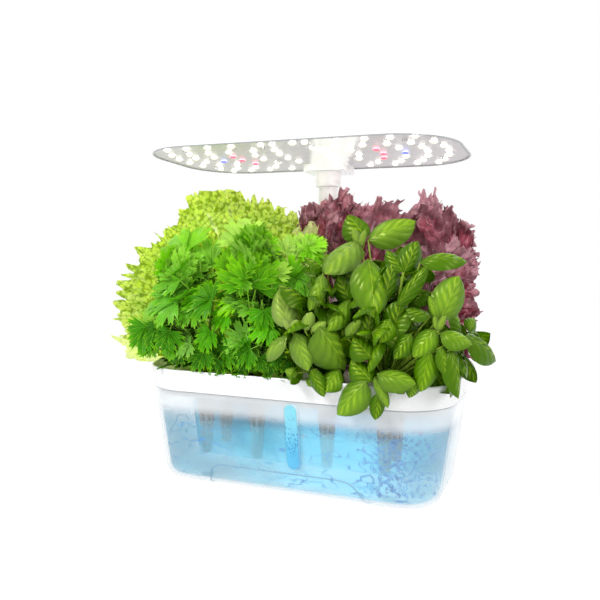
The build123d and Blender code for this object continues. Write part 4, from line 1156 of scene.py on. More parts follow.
PARSLEY_LEAVES = (
    ((249, 304), (243, 244), (-60, -56), 1.0, (-0.1, 0.3, 1), 0.4, 0.25),
    ((251, 306), (268, 246), (-56, -44), 0.9, (0.2, 0.3, 1), 0.4, 0.3),
    ((253, 304), (216, 294), (-72, -88), 1.0, (0, 0.7, 1), 0.4, 0.75),
    ((216, 282), (205, 234), (-52, -46), 1.0, (-0.1, 0.3, 1), 0.4, 0.35, 0.15),
    ((200, 262), (168, 236), (-38, -34), 1.0, (-0.2, 0.4, 1), 0.5, 0.4, 0.1),
    ((196, 304), (141, 306), (-72, -84), 1.0, (-0.1, 0.8, 0.8), 0.6, 0.4, 0.15),
    ((150, 310), (141, 360), (-84, -92), 0.8, (-0.3, 0.2, 1), 0.5, 0.25),
    ((160, 312), (154, 356), (-86, -94), 0.7, (-0.3, 0.2, 1), 0.4, 0.15),
    ((174, 318), (163, 360), (-88, -96), 0.8, (-0.2, 0.3, 1), 0.4, 0.2),
    ((205, 303), (174, 326), (-84, -94), 0.9, (-0.2, 0.6, 1), 0.5, 0.5, 0.1),
    ((228, 303), (178, 300), (-76, -88), 1.0, (0, 0.7, 0.9), 0.5, 0.2),
    ((218, 322), (198, 354), (-88, -97), 0.8, (-0.1, 0.5, 1), 0.5, 0.3),
    ((200, 340), (172, 356), (-90, -98), 0.8, (-0.1, 0.7, 0.8), 0.4, 0.35, 0.3),
    ((212, 345), (190, 372), (-92, -96), 0.9, (0, 0.4, 1), 0.4, 0.15),
    ((240, 310), (206, 325), (-84, -94), 0.8, (-0.1, 0.6, 1), 0.4, 0.45),
    ((280, 322), (246, 340), (-80, -92), 1.0, (0, 0.6, 1), 0.5, 0.45),
    ((262, 344), (228, 362), (-88, -96), 0.9, (0, 0.5, 1), 0.4, 0.2),
    ((258, 350), (262, 374), (-88, -94), 0.9, (0, 0.4, 1), 0.4, 0.15),
    ((275, 352), (282, 372), (-84, -90), 0.9, (0, 0.4, 1), 0.4, 0.15),
    ((272, 285), (288, 259), (-58, -54), 0.7, (0.1, 0.3, 1), 0.3, 0.95, 0.4),
    ((293, 290), (291, 252), (-54, -48), 0.6, (0.3, 0.3, 1), 0.3, 0.4),
    ((296, 284), (277, 300), (-58, -70), 0.9, (-0.1, 0.5, 1), 0.4, 0.4, 0.1),
    ((289, 280), (308, 304), (-60, -72), 0.9, (0.1, 0.5, 1), 0.4, 0.4, 0.1),
    ((296, 250), (330, 244), (-40, -38), 0.9, (0.1, 0.6, 1), 0.4, 0.6, 0.1),
    ((300, 246), (322, 266), (-44, -48), 0.7, (0.2, 0.5, 1), 0.4, 0.5),
    ((262, 262), (270, 229), (-36, -30), 0.8, (0.1, 0.3, 1), 0.3, 0.3),
    ((190, 290), (160, 262), (-60, -58), 1.0, (-0.2, 0.5, 1), 0.5, 0.35, 0.1),
    ((182, 300), (150, 284), (-70, -74), 1.0, (-0.3, 0.6, 1), 0.5, 0.35, 0.1),
    ((236, 338), (214, 364), (-86, -95), 0.9, (0, 0.5, 1), 0.4, 0.2),
    ((228, 280), (232, 244), (-50, -44), 0.9, (0, 0.3, 1), 0.4, 0.2),
    ((180, 346), (170, 366), (-86, -88), 1.0, (0, 0.3, 1), 0.4, 0.1),
    ((222, 352), (210, 375), (-86, -88), 1.0, (0, 0.3, 1), 0.4, 0.1),
    ((246, 354), (240, 378), (-84, -86), 1.0, (0, 0.3, 1), 0.4, 0.1),
    ((268, 352), (272, 380), (-84, -86), 1.0, (0, 0.3, 1), 0.4, 0.1),
    ((292, 354), (296, 382), (-84, -86), 1.0, (0, 0.3, 1), 0.4, 0.1),
    ((262, 300), (266, 335), (-66, -74), 1.0, (0, 0.3, 1), 0.4, 0.3),
    ((300, 264), (327, 238), (-40, -36), 1.0, (0.2, 0.5, 1), 0.4, 0.7, 0.3),
    ((290, 264), (312, 232), (-34, -30), 1.0, (0.1, 0.4, 1), 0.4, 0.9, 0.5),
    ((296, 286), (327, 282), (-50, -56), 1.0, (0.1, 0.6, 1), 0.4, 0.5, 0.2),
    ((288, 272), (318, 297), (-52, -62), 1.0, (0.1, 0.5, 1), 0.4, 0.4, 0.1),
    ((280, 262), (298, 236), (-30, -26), 1.0, (0.1, 0.4, 1), 0.4, 0.9, 0.6),
    ((238, 262), (246, 212), (-26, -18), 0.8, (0, 0.3, 1), 0.3, 1.0, 0.5),
)

# Left, top, right and bottom of the places in the picture where a plant has no leaf tips
PICTURE_GAPS = {
    "basil_leaf": (
        (260, 180, 334, 290), (376, 180, 432, 250), (418, 180, 500, 322), (320, 180, 360, 236),
        (456, 345, 540, 430),
    ),
    "green_lettuce_leaf": (
        (80, 170, 136, 280), (80, 170, 149, 264), (80, 170, 162, 245), (80, 170, 198, 232),
        (80, 170, 134, 420), (80, 345, 140, 420), (100, 320, 154, 380), (170, 170, 330, 196),
        (264, 170, 330, 210), (278, 170, 330, 220), (290, 170, 330, 226),
    ),
    "parsley_leaf": ((80, 170, 164, 262), (80, 170, 154, 300), (80, 170, 138, 330)),
    "red_lettuce_leaf": (
        (468, 170, 540, 350), (285, 236, 392, 345), (270, 170, 296, 345), (454, 170, 540, 222),
        (399, 170, 416, 214),
    ),
}

GREEN_LETTUCE_LEAVES = (
    ((224, 250), (201, 191), (46, 50), 0.9, (-0.3, 0.3, 1), 0.5, 0.5, 0.2),
    ((238, 252), (226, 194), (42, 40), 0.9, (0, 0.3, 1), 0.5, 0.7, 0.3),
    ((246, 258), (250, 198), (36, 34), 0.9, (0.1, 0.3, 1), 0.5, 0.6, 0.3),
    ((258, 262), (274, 204), (34, 36), 0.9, (0.2, 0.3, 1), 0.5, 0.5, 0.3),
    ((268, 266), (298, 216), (30, 34), 0.9, (0.3, 0.3, 1), 0.5, 0.6, 0.4),
    ((278, 270), (324, 232), (26, 28), 0.9, (0.4, 0.4, 1), 0.4, 0.5, 0.9),
    ((218, 262), (182, 220), (30, 34), 0.9, (-0.3, 0.3, 1), 0.5, 0.5, 0.2),
    ((212, 276), (160, 238), (24, 30), 0.9, (-0.4, 0.3, 1), 0.5, 0.5, 0.2),
    ((204, 290), (142, 254), (20, 28), 0.9, (-0.5, 0.3, 1), 0.5, 0.6, 0.2),
    ((196, 302), (126, 272), (10, 20), 0.9, (-0.5, 0.3, 1), 0.5, 0.7, 0.3),
    ((190, 312), (126, 298), (6, 12), 0.85, (-0.5, 0.4, 1), 0.4, 0.8, 0.3),
    ((186, 320), (124, 318), (0, 4), 0.8, (-0.5, 0.3, 1), 0.4, 0.8, 0.5),
    ((184, 330), (122, 336), (-6, -4), 0.75, (-0.4, 0.3, 1), 0.4, 0.6, 0.9),
    ((184, 336), (128, 352), (-8, -10), 0.7, (-0.4, 0.3, 1), 0.4, 0.5, 1.0),
    ((190, 340), (148, 366), (-6, -8), 0.8, (-0.2, 0.3, 1), 0.4, 0.4, 1.0),
    ((240, 272), (222, 214), (20, 14), 0.9, (-0.1, 0.3, 1), 0.5, 0.5, 0.3),
    ((256, 276), (252, 222), (16, 8), 0.9, (0, 0.3, 1), 0.5, 0.7, 0.4),
    ((268, 278), (278, 228), (12, 6), 0.9, (0.2, 0.3, 1), 0.5, 0.6, 0.3),
    ((276, 284), (302, 238), (8, 4), 0.9, (0.3, 0.3, 1), 0.5, 0.5, 0.3),
    ((206, 290), (172, 250), (4, 2), 0.9, (-0.3, 0.3, 1), 0.5, 0.5, 0.2),
    ((202, 304), (150, 276), (-2, -6), 0.9, (-0.4, 0.3, 1), 0.5, 0.6, 0.2),
    ((292, 290), (322, 226), (-110, -110), 0.8, (0.1, 0.3, 1), 0.3, 0.6, 0.8),
    ((300, 300), (334, 246), (-120, -120), 0.8, (0.2, 0.3, 1), 0.3, 0.6, 0.6),
    ((290, 300), (306, 236), (-116, -116), 0.8, (0, 0.3, 1), 0.3, 0.6, 0.6),
    ((300, 312), (330, 268), (-130, -130), 0.8, (0.2, 0.3, 1), 0.3, 0.6, 0.7),
)

RED_LETTUCE_LEAVES = (
    ((330, 256), (298, 212), (44, 46), 0.7, (-0.4, 0.3, 1), 0.4, 0.2, 0.5),
    ((332, 256), (314, 202), (40, 42), 0.7, (-0.2, 0.3, 1), 0.4, 0.3, 0.3),
    ((336, 256), (330, 205), (34, 34), 0.7, (0, 0.3, 1), 0.4, 0.4, 0.2),
    ((338, 256), (345, 190), (40, 42), 0.6, (0, 0.3, 1), 0.4, 0.5, 0.3),
    ((342, 258), (356, 204), (34, 34), 0.6, (0.2, 0.3, 1), 0.4, 0.4, 0.2),
    ((366, 252), (380, 200), (40, 44), 0.7, (0, 0.3, 1), 0.4, 0.4, 0.5),
    ((374, 252), (397, 202), (40, 44), 0.7, (0.2, 0.3, 1), 0.4, 0.3, 0.5),
    ((420, 250), (431, 192), (56, 60), 0.6, (-0.1, 0.3, 1), 0.3, 0.2, 0.7),
    ((424, 260), (424, 212), (44, 40), 0.9, (-0.1, 0.3, 1), 0.4, 0.3, 0.8),
    ((430, 262), (450, 210), (44, 46), 0.8, (0.2, 0.3, 1), 0.4, 0.4, 0.6),
    ((434, 266), (470, 228), (36, 40), 0.8, (0.4, 0.3, 1), 0.4, 0.6, 0.6),
    ((434, 276), (477, 252), (30, 30), 0.7, (0.4, 0.3, 1), 0.4, 0.6, 0.4),
    ((432, 282), (477, 270), (16, 10), 0.8, (0.4, 0.4, 1), 0.4, 0.6, 0.1),
    ((432, 292), (476, 292), (10, 6), 0.8, (0.4, 0.3, 1), 0.4, 0.5, 0.1),
    ((432, 304), (477, 316), (4, 0), 0.8, (0.4, 0.3, 1), 0.4, 0.5, 0.1),
    ((430, 312), (468, 334), (0, -4), 0.8, (0.3, 0.3, 1), 0.4, 0.4, 0.1),
    ((402, 290), (400, 244), (26, 22), 0.8, (0, 0.3, 1), 0.4, 0.2, 0.2),
    ((414, 290), (430, 262), (14, 8), 0.9, (0.2, 0.4, 1), 0.4, 0.3, 0.3),
)


def pixel_of(point):
    """Where the picture shows a point."""
    place, right, up, back = camera_axes()
    away = Vector(point) - place
    depth = -away.dot(back) * per_pixel()
    return PICTURE_SIDE / 2 + away.dot(right) / depth, PICTURE_SIDE / 2 - away.dot(up) / depth


def in_gap(point, slot):
    """Whether the picture shows no tip of a plant's leaves at a point."""
    x, y = pixel_of(point)
    return any(
        left < x < right and top < y < bottom for left, top, right, bottom in PICTURE_GAPS[slot]
    )


def place_leaves(rows, tree, low, high, make_blade, foliage, draws, hanging=None):
    """Adds those of the placed leaves that lie within a plant's own stretch."""
    right, up, back = camera_axes()[1:]
    for row in rows:
        leaf = PlacedLeaf(*row)
        foot = sight(leaf.foot, leaf.depths[0], tree)
        tip = sight(leaf.tip, leaf.depths[1], tree)
        middle = (foot + tip) / 2
        if not low <= middle.x < high:
            continue
        face = right * leaf.face[0] + up * leaf.face[1] + back * leaf.face[2]
        blade = make_blade(leaf.width, draws)
        tint = (leaf.young, leaf.pale, draws.uniform())
        into = hanging if hanging and tip.z < HANGING_BELOW * MM else foliage
        into.add_between(blade, foot, tip, face, leaf.curl, tint)
        yield foot, tip


def pod_root(name, height):
    """Where a plant's stalks start: over its pod, at a height in metres."""
    root = Vector((*POD_PLACES[name], 0)) * MM
    root.z = height
    return root


class LeafFinish(Finish):
    """Leaf tissue: place on the blade, the leaf's tint with its painted light and shade, blotches
    and light through it.
    """

    def __init__(self, name, group):
        super().__init__(name, group.shade, 0.36, IOR=1.42, Specular_IOR_Level=0.22)
        self.along, self.across, _ = self.axes(self.stored("blade_place"))
        self.far = self.absolute(self.across)
        self.young, self.pale, self.chance = self.axes(self.stored("tint", "Color"))
        self.blotch = self.span(self.noise(70.0, 3.0), 0.35, 0.65)

    def blotched(self, over, most):
        """Paints a colour over the tone in blotches, up to a share."""
        self.tint(self.span(self.blotch, 0.0, 1.0, 0.0, most), over)

    def ripple(self, value, waves):
        """Ridges from 0 to 1, with grooves between them."""
        return self.absolute(self.sum("SINE", self.times(value, waves * math.pi)))

    def leaf(self, smooth, rough, sheen, through):
        """Sets gloss and light through the leaf, and hands the material out."""
        self.roughen(self.blotch, smooth, rough, 0.0, 1.0)
        self.feed("Specular Tint", sheen)
        passed = self.node("ShaderNodeBsdfTranslucent", {"Color": self.tone}).outputs[0]
        self.mingle(through, self.shader.outputs[0], passed)
        return self.done()


def basil_finish():
    """Smooth, glossy basil: sunken midrib, curved side veins, painted shade and painted highlights.
    """
    group = settings("basil")
    finish = LeafFinish("basil_leaf", group)
    along, across, far = finish.along, finish.across, finish.far
    finish.tint(finish.span(finish.young, 0.0, 0.5), group.leaf)
    finish.tint(finish.span(finish.young, 0.5, 1.1), group.young)
    finish.blotched(group.shade, 0.175)
    wave = finish.ripple(finish.line(far, -BASIL_SWEEP, along), BASIL_VEINS)
    # Painted shade in the grooves of the side veins and along the midrib
    furrow_shade = finish.larger(finish.span(wave, 0.5, 0.0), finish.span(far, 0.2, 0.05))
    finish.tint(finish.times(furrow_shade, 0.2), group.shade)
    # Painted shade towards the edges and the foot, and over one side as if lit from the other
    edge_shade = finish.larger(finish.span(far, 0.55, 1.0), finish.span(along, 0.35, 0.0))
    lee_shade = finish.span(across, 0.0, 0.7, 0.0, 0.55)
    finish.tint(finish.larger(finish.times(edge_shade, 0.85), lee_shade), group.shade)
    # Painted highlights on the bulges between the veins, brightest on the lit part of the leaf
    crest_highlight = finish.times(finish.span(wave, 0.6, 1.0), finish.span(far, 0.7, 0.3))
    lit = finish.times(finish.span(across, 0.15, -0.3), finish.span(along, 0.15, 0.5))
    finish.tint(finish.times(crest_highlight, finish.span(lit, 0.0, 1.0, 0.1, 0.44)), group.vein)
    finish.tint(finish.times(finish.span(far, 0.035, 0.012), 0.5), group.vein)
    finish.tint(finish.times(finish.pale, 0.5), (0.72, 0.82, 0.3))
    finish.feed("Specular IOR Level", 0.55)
    finish.bump(wave, 0.36, 1.2)
    return finish.leaf(0.22, 0.34, (0.88, 1.0, 0.3), 0.12)


def parsley_finish():
    """Parsley with veins that fan out into its teeth, lighter higher up in painted light."""
    group = settings("parsley")
    finish = LeafFinish("parsley_leaf", group)
    finish.tint(finish.span(finish.young, 0.0, 0.5), group.leaf)
    finish.tint(finish.span(finish.young, 0.4, 1.0), group.young)
    finish.tint(finish.span(finish.along, 0.75, 1.0, 0.0, 0.35), group.young)
    # Painted light: leaves higher up are lighter
    finish.tint(finish.between(finish.axes()[2], PARSLEY_LIT_TOP, 0.0, 0.5), group.young)
    finish.blotched(group.shade, 0.27)
    wave = finish.ripple(finish.across, 5.0)
    finish.tint(finish.span(wave, 0.25, 0.0, 0.0, 0.7), group.vein)
    finish.tint(finish.times(finish.pale, 0.6), (0.7, 0.78, 0.3))
    finish.bump(wave, 0.4, 1.2)
    return finish.leaf(0.26, 0.4, (0.9, 1.0, 0.6), 0.14)


# How a lettuce looks: how much of the edge's colour its tips have and, as painted highlights,
# its blisters; how far pale leaves go, its blisters per metre, how dark the painted shade in the
# hollows between them is, how strong its painted glow is, the tint of its sheen, the blisters'
# depth in millimetres, and how much light comes through
LettuceLook = namedtuple("LettuceLook", "tip frost paling blisters pits glow sheen depth through")
GREEN_LOOK = LettuceLook(0.8, 0.6, 0.95, 170.0, 0.8, 0.27, (0.95, 1.0, 0.3), 3.0, 0.42)
RED_LOOK = LettuceLook(0.65, 0.3, 0.8, 80.0, 0.6, 0.08, (1.0, 0.7, 0.76), 4.0, 0.2)


def lettuce_finish(name, group, look):
    """Crinkled lettuce: a pale rib, branching veins and coloured frills, painted highlights and
    shade on its blisters, and a painted glow.
    """
    finish = LeafFinish(name, group)
    along = finish.along
    finish.tint(finish.span(along, 0.15, 0.7), group.leaf)
    finish.tint(finish.span(along, 0.7, 1.0, 0.0, look.tip), group.edge)
    finish.blotched(group.shade, 0.35)
    wave = finish.ripple(finish.times(finish.across, finish.line(along, -0.5, 1.0)), 7.0)
    rib = finish.times(finish.span(finish.far, 0.1, 0.03), finish.span(along, 0.95, 0.2))
    finish.tint(finish.larger(finish.span(wave, 0.2, 0.0, 0.0, 0.5), rib), group.rib)
    paling = finish.times(finish.pale, look.paling)
    if look is RED_LOOK:
        finish.tint(paling, group.edge)
        finish.tint(finish.span(finish.chance, 0.5, 0.9, 0.0, 0.5), group.edge)
        finish.tint(finish.span(finish.chance, 0.4, 0.1, 0.0, 0.7), group.shade)
    else:
        finish.tint(paling, group.rib)
    blister = finish.cells(look.blisters)
    # Painted highlights on the blister tops
    finish.tint(finish.span(blister, 0.34, 0.1, 0.0, look.frost), group.edge)
    # Painted shade in the hollows between the blisters, less on pale leaves
    between_blisters = finish.span(blister, 0.4, 0.75, 0.0, look.pits)
    pits = finish.times(between_blisters, finish.span(finish.pale, 1.0, 0.3, 0.2))
    finish.tint(pits, shaded(group.shade, 0.6))
    # A painted glow lightens the leaf as if light shone through it
    finish.glow(finish.tone, look.glow)
    finish.bump(blister, -0.7, look.depth)
    return finish.leaf(0.3, 0.5, look.sheen, look.through)


# How a leafy plant grows: its leaves in the picture, its blade, how many leaves fill each crown,
# how steeply they rise, and how far they stay behind its front and under its top
Habit = namedtuple("Habit", "rows blade fill rise behind lower")
PARSLEY_HABIT = Habit(PARSLEY_LEAVES, parsley_blade, 110, 0.15, 10, 0)
GREEN_LETTUCE_HABIT = Habit(GREEN_LETTUCE_LEAVES, green_lettuce_blade, 64, 0.8, 0, 4)
RED_LETTUCE_HABIT = Habit(RED_LETTUCE_LEAVES, red_lettuce_blade, 60, 0.8, 0, 18)

# Stalks' radii at foot and tip, tints as youth, paleness and chance, and how far stalks bow
PLACED_STALK = (2.2, 1.0)
PLACED_STALK_TINT = (0.7, 0.4, 0.5)
PLACED_STALK_BOW = 8
FILLING_STALK = (1.8, 0.9)
FILLING_STALK_TINT = (0.6, 0.3, 0.5)
# The low leaves that hide a plant's pod: how many, and how far out and up they reach
LOW_LEAVES = 21
LOW_REACH = (66, 43)
LOW_RISE = 16
# Ranges of the draws for the leaves that fill a crown: how far they point outwards, their size,
# youth, paleness, width and curl, and how unevenly they rise and face
OUTWARD = (0.45, 0.9)
SIZES = (0.75, 1.1)
YOUTH = (0.1, 0.8)
PALENESS = (0, 0.3)
WIDTHS = (0.8, 1.05)
CURLS = (0.2, 0.7)
UNEVEN_RISE = 0.35
UNEVEN_FACE = 0.4
# How much darker in painted shade the filling leaves that face the camera are, where placed leaves
# cover them
SHADED_IN_FRONT = 0.9


def low_leaf(foliage, root, around, make_blade, draws):
    """Adds one of the flat leaves round a plant's foot."""
    wide, deep = (part * MM for part in LOW_REACH)
    rise = draws.uniform(0.0, LOW_RISE * MM)
    reach = Vector((math.cos(around) * wide, math.sin(around) * deep, rise))
    face = Vector((0, 0, 1)) - reach * 4
    blade = make_blade(1.0, draws)
    tint = (0.1, 0.0, draws.uniform())
    foliage.add_between(blade, root + reach * 0.3, root + reach, face, 0.5, tint)


def filling_leaf(foliage, root, target, normal, front, habit, size, draws):
    """Adds a leaf whose tip is at a place on the crown, and its stalk."""
    up = Vector((0, 0, 1))
    behind = habit.behind * MM
    target = target - normal * behind * front - Vector((0, 0, habit.lower * MM))
    rise = up - normal * normal.z
    rise += Vector(draws.uniform(-UNEVEN_RISE, UNEVEN_RISE, 3))
    heading = (rise * habit.rise + normal * draws.uniform(*OUTWARD)).normalized()
    size = size * draws.uniform(*SIZES)
    base = target - heading * size
    base.z = max(base.z, root.z + LEAF_REST * MM)
    face = normal + up * 0.5 + Vector(draws.uniform(-UNEVEN_FACE, UNEVEN_FACE, 3))
    # Filling leaves that face the camera lie behind placed leaves and get painted shade
    young = draws.uniform(*YOUTH) * (1 - SHADED_IN_FRONT * front if habit.behind else 1)
    tint = (young, draws.uniform(*PALENESS), draws.uniform())
    blade = habit.blade(draws.uniform(*WIDTHS), draws)
    foliage.add_between(blade, base, target, face, draws.uniform(*CURLS), tint)
    foliage.add_stalk((root, (base + root) / 2, base), FILLING_STALK, FILLING_STALK_TINT)


def grow_leafy(kind, habit, finish):
    """Plants whose leaves all rise from their foot: placed leaves in front, a full crown behind."""
    group = settings(kind)
    slot = kind + "_leaf"
    names = [name for name in POD_PLACES if name.startswith(kind)]
    draws = np.random.default_rng(group.seed)
    family = crown_tree(*names)
    for name in names:
        low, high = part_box(name)
        foliage = Foliage()
        root = pod_root(name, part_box("grow_deck")[1].z)
        right = high.x + BESIDE * MM if name == names[-1] else high.x
        for foot, _ in place_leaves(
            habit.rows, family, low.x, right, habit.blade, foliage, draws
        ):
            middle = (foot + root) / 2 + Vector((0, 0, PLACED_STALK_BOW * MM))
            foliage.add_stalk((root, middle, foot), PLACED_STALK, PLACED_STALK_TINT)
        for index in range(LOW_LEAVES):
            low_leaf(foliage, root, index * GOLDEN_TURN, habit.blade, draws)
        for target, normal, front in crown_targets(name, habit.fill, draws):
            if not in_gap(target, slot):
                filling_leaf(foliage, root, target, normal, front, habit, group.blade, draws)
        foliage.build(name + "_leaves", name, finish, slot, right=right + SPREAD[0] * MM)


# Colours of small or hidden pieces
PAD_GREY = (0.35, 0.36, 0.37)
JACK_BLACK = (0.02, 0.02, 0.022)
LEAD_BLACK = (0.02, 0.02, 0.02)
GROMMET_BLACK = (0.05, 0.05, 0.05)
PUMP_GREY = (0.5, 0.56, 0.6)
ROTOR_WHITE = (0.7, 0.7, 0.7)
SHAFT_WHITE = (0.8, 0.8, 0.78)
RISER_BLUE = (0.66, 0.78, 0.84)
BUTTON_WHITE = (0.72, 0.72, 0.74)
# How strongly a painted glow stands in for the lamp's light on what is close to it
POLE_PAINTED_GLOW = 0.12
PLATE_PAINTED_GLOW = 0.16


class PLANTER_OT_tank(Operator):
    """Finish the tank, its level window and its pads"""

    bl_idname = "planter.tank"
    bl_label = "Finish Tank"

    def execute(self, context):
        """Gives the tank's pieces their materials."""
        dress(frosted_wall(), "water_tank")
        dress(clear_window(), "level_window")
        dress(matte_plastic("pad_rubber", PAD_GREY, 0.7), "foot_pads")
        return {"FINISHED"}


class PLANTER_OT_deck(Operator):
    """Finish the deck, its cap, its baskets and sponges, and what is under it"""

    bl_idname = "planter.deck"
    bl_label = "Finish Deck"

    def execute(self, context):
        """Gives the deck's pieces their materials."""
        plastic = settings("plastic")
        dress(gloss_plastic("white_gloss", plastic.white), "fill_cap", "pole_socket")
        dress(seam_shaded_plastic("deck_gloss", plastic.white), "grow_deck")
        baskets = [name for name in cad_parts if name.startswith("pod_basket")]
        dress(gloss_plastic("basket_grey", plastic.basket, 0.4), *baskets)
        dress(grow_sponge(), "grow_sponges")
        dress(matte_plastic("stalk_green", settings("green_lettuce").leaf, 0.5), "plant_stems")
        screws = [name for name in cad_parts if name.endswith("_screws")]
        dress(plated_steel("screw_steel"), *screws)
        dress(circuit_green("circuit_green"), "wiring_board", "control_board")
        dress(matte_plastic("black_plastic", JACK_BLACK), "power_jack")
        leads = ("pump_lead", "coiled_lead", "lamp_lead")
        dress(matte_plastic("lead_black", LEAD_BLACK, 0.45), *leads)
        return {"FINISHED"}


class PLANTER_OT_pump(Operator):
    """Finish the pump and its riser"""

    bl_idname = "planter.pump"
    bl_label = "Finish Pump"

    def execute(self, context):
        """Gives the pump's pieces their materials."""
        dress(matte_plastic("pump_grey", PUMP_GREY), "pump_housing", "pump_cover")
        dress(matte_plastic("rotor_white", ROTOR_WHITE), "pump_rotor")
        dress(gloss_plastic("shaft_ceramic", SHAFT_WHITE, 0.15), "pump_shaft")
        dress(gloss_plastic("riser_clear", RISER_BLUE, 0.2), "pump_riser")
        return {"FINISHED"}


class PLANTER_OT_pole(Operator):
    """Finish the pole"""

    bl_idname = "planter.pole"
    bl_label = "Finish Pole"

    def execute(self, context):
        """Gives the pole's pieces their materials."""
        white = settings("plastic").white
        dress(gloss_plastic("pole_white", white, 0.2), "lower_tube", "pole_ring")
        dress(lit_plastic("pole_lit", white, POLE_PAINTED_GLOW), "upper_tube", "lamp_collar")
        dress(matte_plastic("grommet_rubber", GROMMET_BLACK, 0.7), "lead_grommet")
        return {"FINISHED"}


class PLANTER_OT_lamp(Operator):
    """Finish the lamp, its board, its LEDs and its buttons"""

    bl_idname = "planter.lamp"
    bl_label = "Finish Lamp"

    def execute(self, context):
        """Gives the lamp's pieces their materials."""
        plastic = settings("plastic")
        lamp = settings("lamp")
        dress(lipped_plastic("lamp_white", plastic.white), "lamp_shell")
        dress(lit_plastic("plate_white", plastic.white, PLATE_PAINTED_GLOW), "mount_plate")
        dress(brushed_board(), "led_board")
        dress(led_lens("led_white", lamp.white), "white_leds")
        dress(led_lens("led_red", lamp.red), "red_leds")
        dress(led_lens("led_blue", lamp.blue), "blue_leds")
        dress(matte_plastic("button_white", BUTTON_WHITE, 0.4), "power_button", "mode_button")
        return {"FINISHED"}


# The water keeps these gaps to wall and floor. Its surface is made of loops drawn in by shares
WATER_GAP = 2.2
WATER_LIFT = 0.6
WATER_EDGE_STEPS = 5
WATER_WALL_STEPS = 6
WATER_SURFACE_SHARES = (0.97, 0.9, 0.75, 0.55, 0.3, 0.08)
# A sheet across the tank that gives the water its depth: its Y, the X and height of its lower
# corners, the X of its upper ones, and how far those stay under the surface
SHEET_Y = 27
SHEET_LOW = ((160, 5), (165, 10), (167, 16))
SHEET_HIGH_X = 178
SHEET_UNDER = 1


class PLANTER_OT_water(Operator):
    """Fill the tank with ruffled water"""

    bl_idname = "planter.water"
    bl_label = "Fill Water"

    def execute(self, context):
        """Builds the water as one closed body just inside the wall, with a sheet across it."""
        water = settings("water")
        gap = TANK_WALL + WATER_GAP
        floor = TANK_FLOOR + WATER_LIFT
        edge = TUB_BASE_EDGE - gap
        level = water.level / MM
        rings = []
        for step in range(WATER_EDGE_STEPS + 1):
            angle = math.pi / 2 * step / WATER_EDGE_STEPS
            height = floor + edge * (1 - math.cos(angle))
            rings.append((height, gap + edge * (1 - math.sin(angle)), 1))
        wall = level - floor - edge
        for step in range(1, WATER_WALL_STEPS + 1):
            rings.append((floor + edge + wall * step / WATER_WALL_STEPS, gap, 1))
        rings += [(level, gap, share_in) for share_in in WATER_SURFACE_SHARES]
        loops = []
        for height, inset, share_in in rings:
            loop = tub_loop(height, inset) * share_in
            loops.append(np.column_stack((loop, np.full(len(loop), height))))
        innermost = WATER_SURFACE_SHARES[-1]
        loops.insert(0, loops[0] * np.array((innermost, innermost, 1)))
        points = np.concatenate(loops)
        columns = len(loops[0])
        top = points[:, 2] >= level - 0.01
        points[top, 2] += water.wave / MM * swell(points[top, 0], points[top, 1])
        faces = ring_faces(len(loops), columns).tolist()
        faces.append(list(range(columns))[::-1])
        faces.append(list(range(len(points) - columns, len(points))))
        sheet = [(x, SHEET_Y, z) for x, z in (*SHEET_LOW, (SHEET_HIGH_X, level - SHEET_UNDER))]
        sheet += [(-x, y, z) for x, y, z in reversed(sheet)]
        faces.append(list(range(len(points), len(points) + len(sheet))))
        points = np.concatenate((points, sheet)) * MM
        body = add_object("tank_water", points, faces, self.finish(water))
        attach(body, "tank")
        return {"FINISHED"}

    def finish(self, water):
        """Blue water: brightest round the window, paler in patches, with thin dark swirls and a
        painted glow.
        """
        finish = Finish("tank_water", water.deep, 0.25, IOR=1.33)
        along, across, height = finish.axes()
        middle = finish.absolute(finish.sum("SUBTRACT", along, WATER_MIDDLE * MM))
        drift = finish.noise(16.0, 3.0)
        patches = finish.span(drift, 0.3, 0.7, -0.25, 0.25)
        bright = finish.sum("ADD", finish.between(middle, WATER_BRIGHT), patches)
        finish.tint(bright, water.bright)
        pale = finish.larger(
            finish.between(height, WATER_TOP), finish.between(height, WATER_FOOT)
        )
        finish.tint(finish.times(pale, 0.55), (0.6, 0.88, 0.97))
        curl = finish.noise(24.0, 2.0, finish.stretched(1.0, 1.0, 2.4))
        ridge = finish.absolute(finish.sum("SUBTRACT", curl, 0.5))
        where = finish.span(finish.noise(13.0, 1.0), 0.5, 0.58)
        swirl = finish.times(finish.span(ridge, 0.02, 0.004), where)
        finish.tint(finish.times(swirl, 0.85), water.streak)
        finish.bump(finish.noise(60.0), 0.3, 2.0)
        # A painted glow lightens the water as if light filled it
        finish.glow(finish.tone, 0.28)
        sheet = finish.times(finish.between(across, WATER_SHEET), 0.56)
        solid = finish.sum("ADD", finish.span(drift, 0.3, 0.7, 0.38, 0.52), sheet)
        solid = finish.line(finish.sum("SUBTRACT", 1.0, solid), swirl, solid)
        uneven = finish.line(drift, WATER_UNEVEN * MM, height)
        finish.see_through(
            finish.times(solid, finish.between(uneven, WATER_FADING)), (0.93, 0.985, 1.0)
        )
        return finish.done()


# Bubbles: the middle and spread along X of those by the right end, the stretch along X of those
# at the surface, how far the rest reach, their lowest place, and where none may be
END_BUBBLES = (134, 22)
SURFACE_BUBBLES = (48, 158)
BUBBLE_REACH = 150
BUBBLE_LOWEST = 14
BUBBLE_LIMIT = 172
BUBBLE_GAP = 0.4
BUBBLE_FLATNESS = 0.8


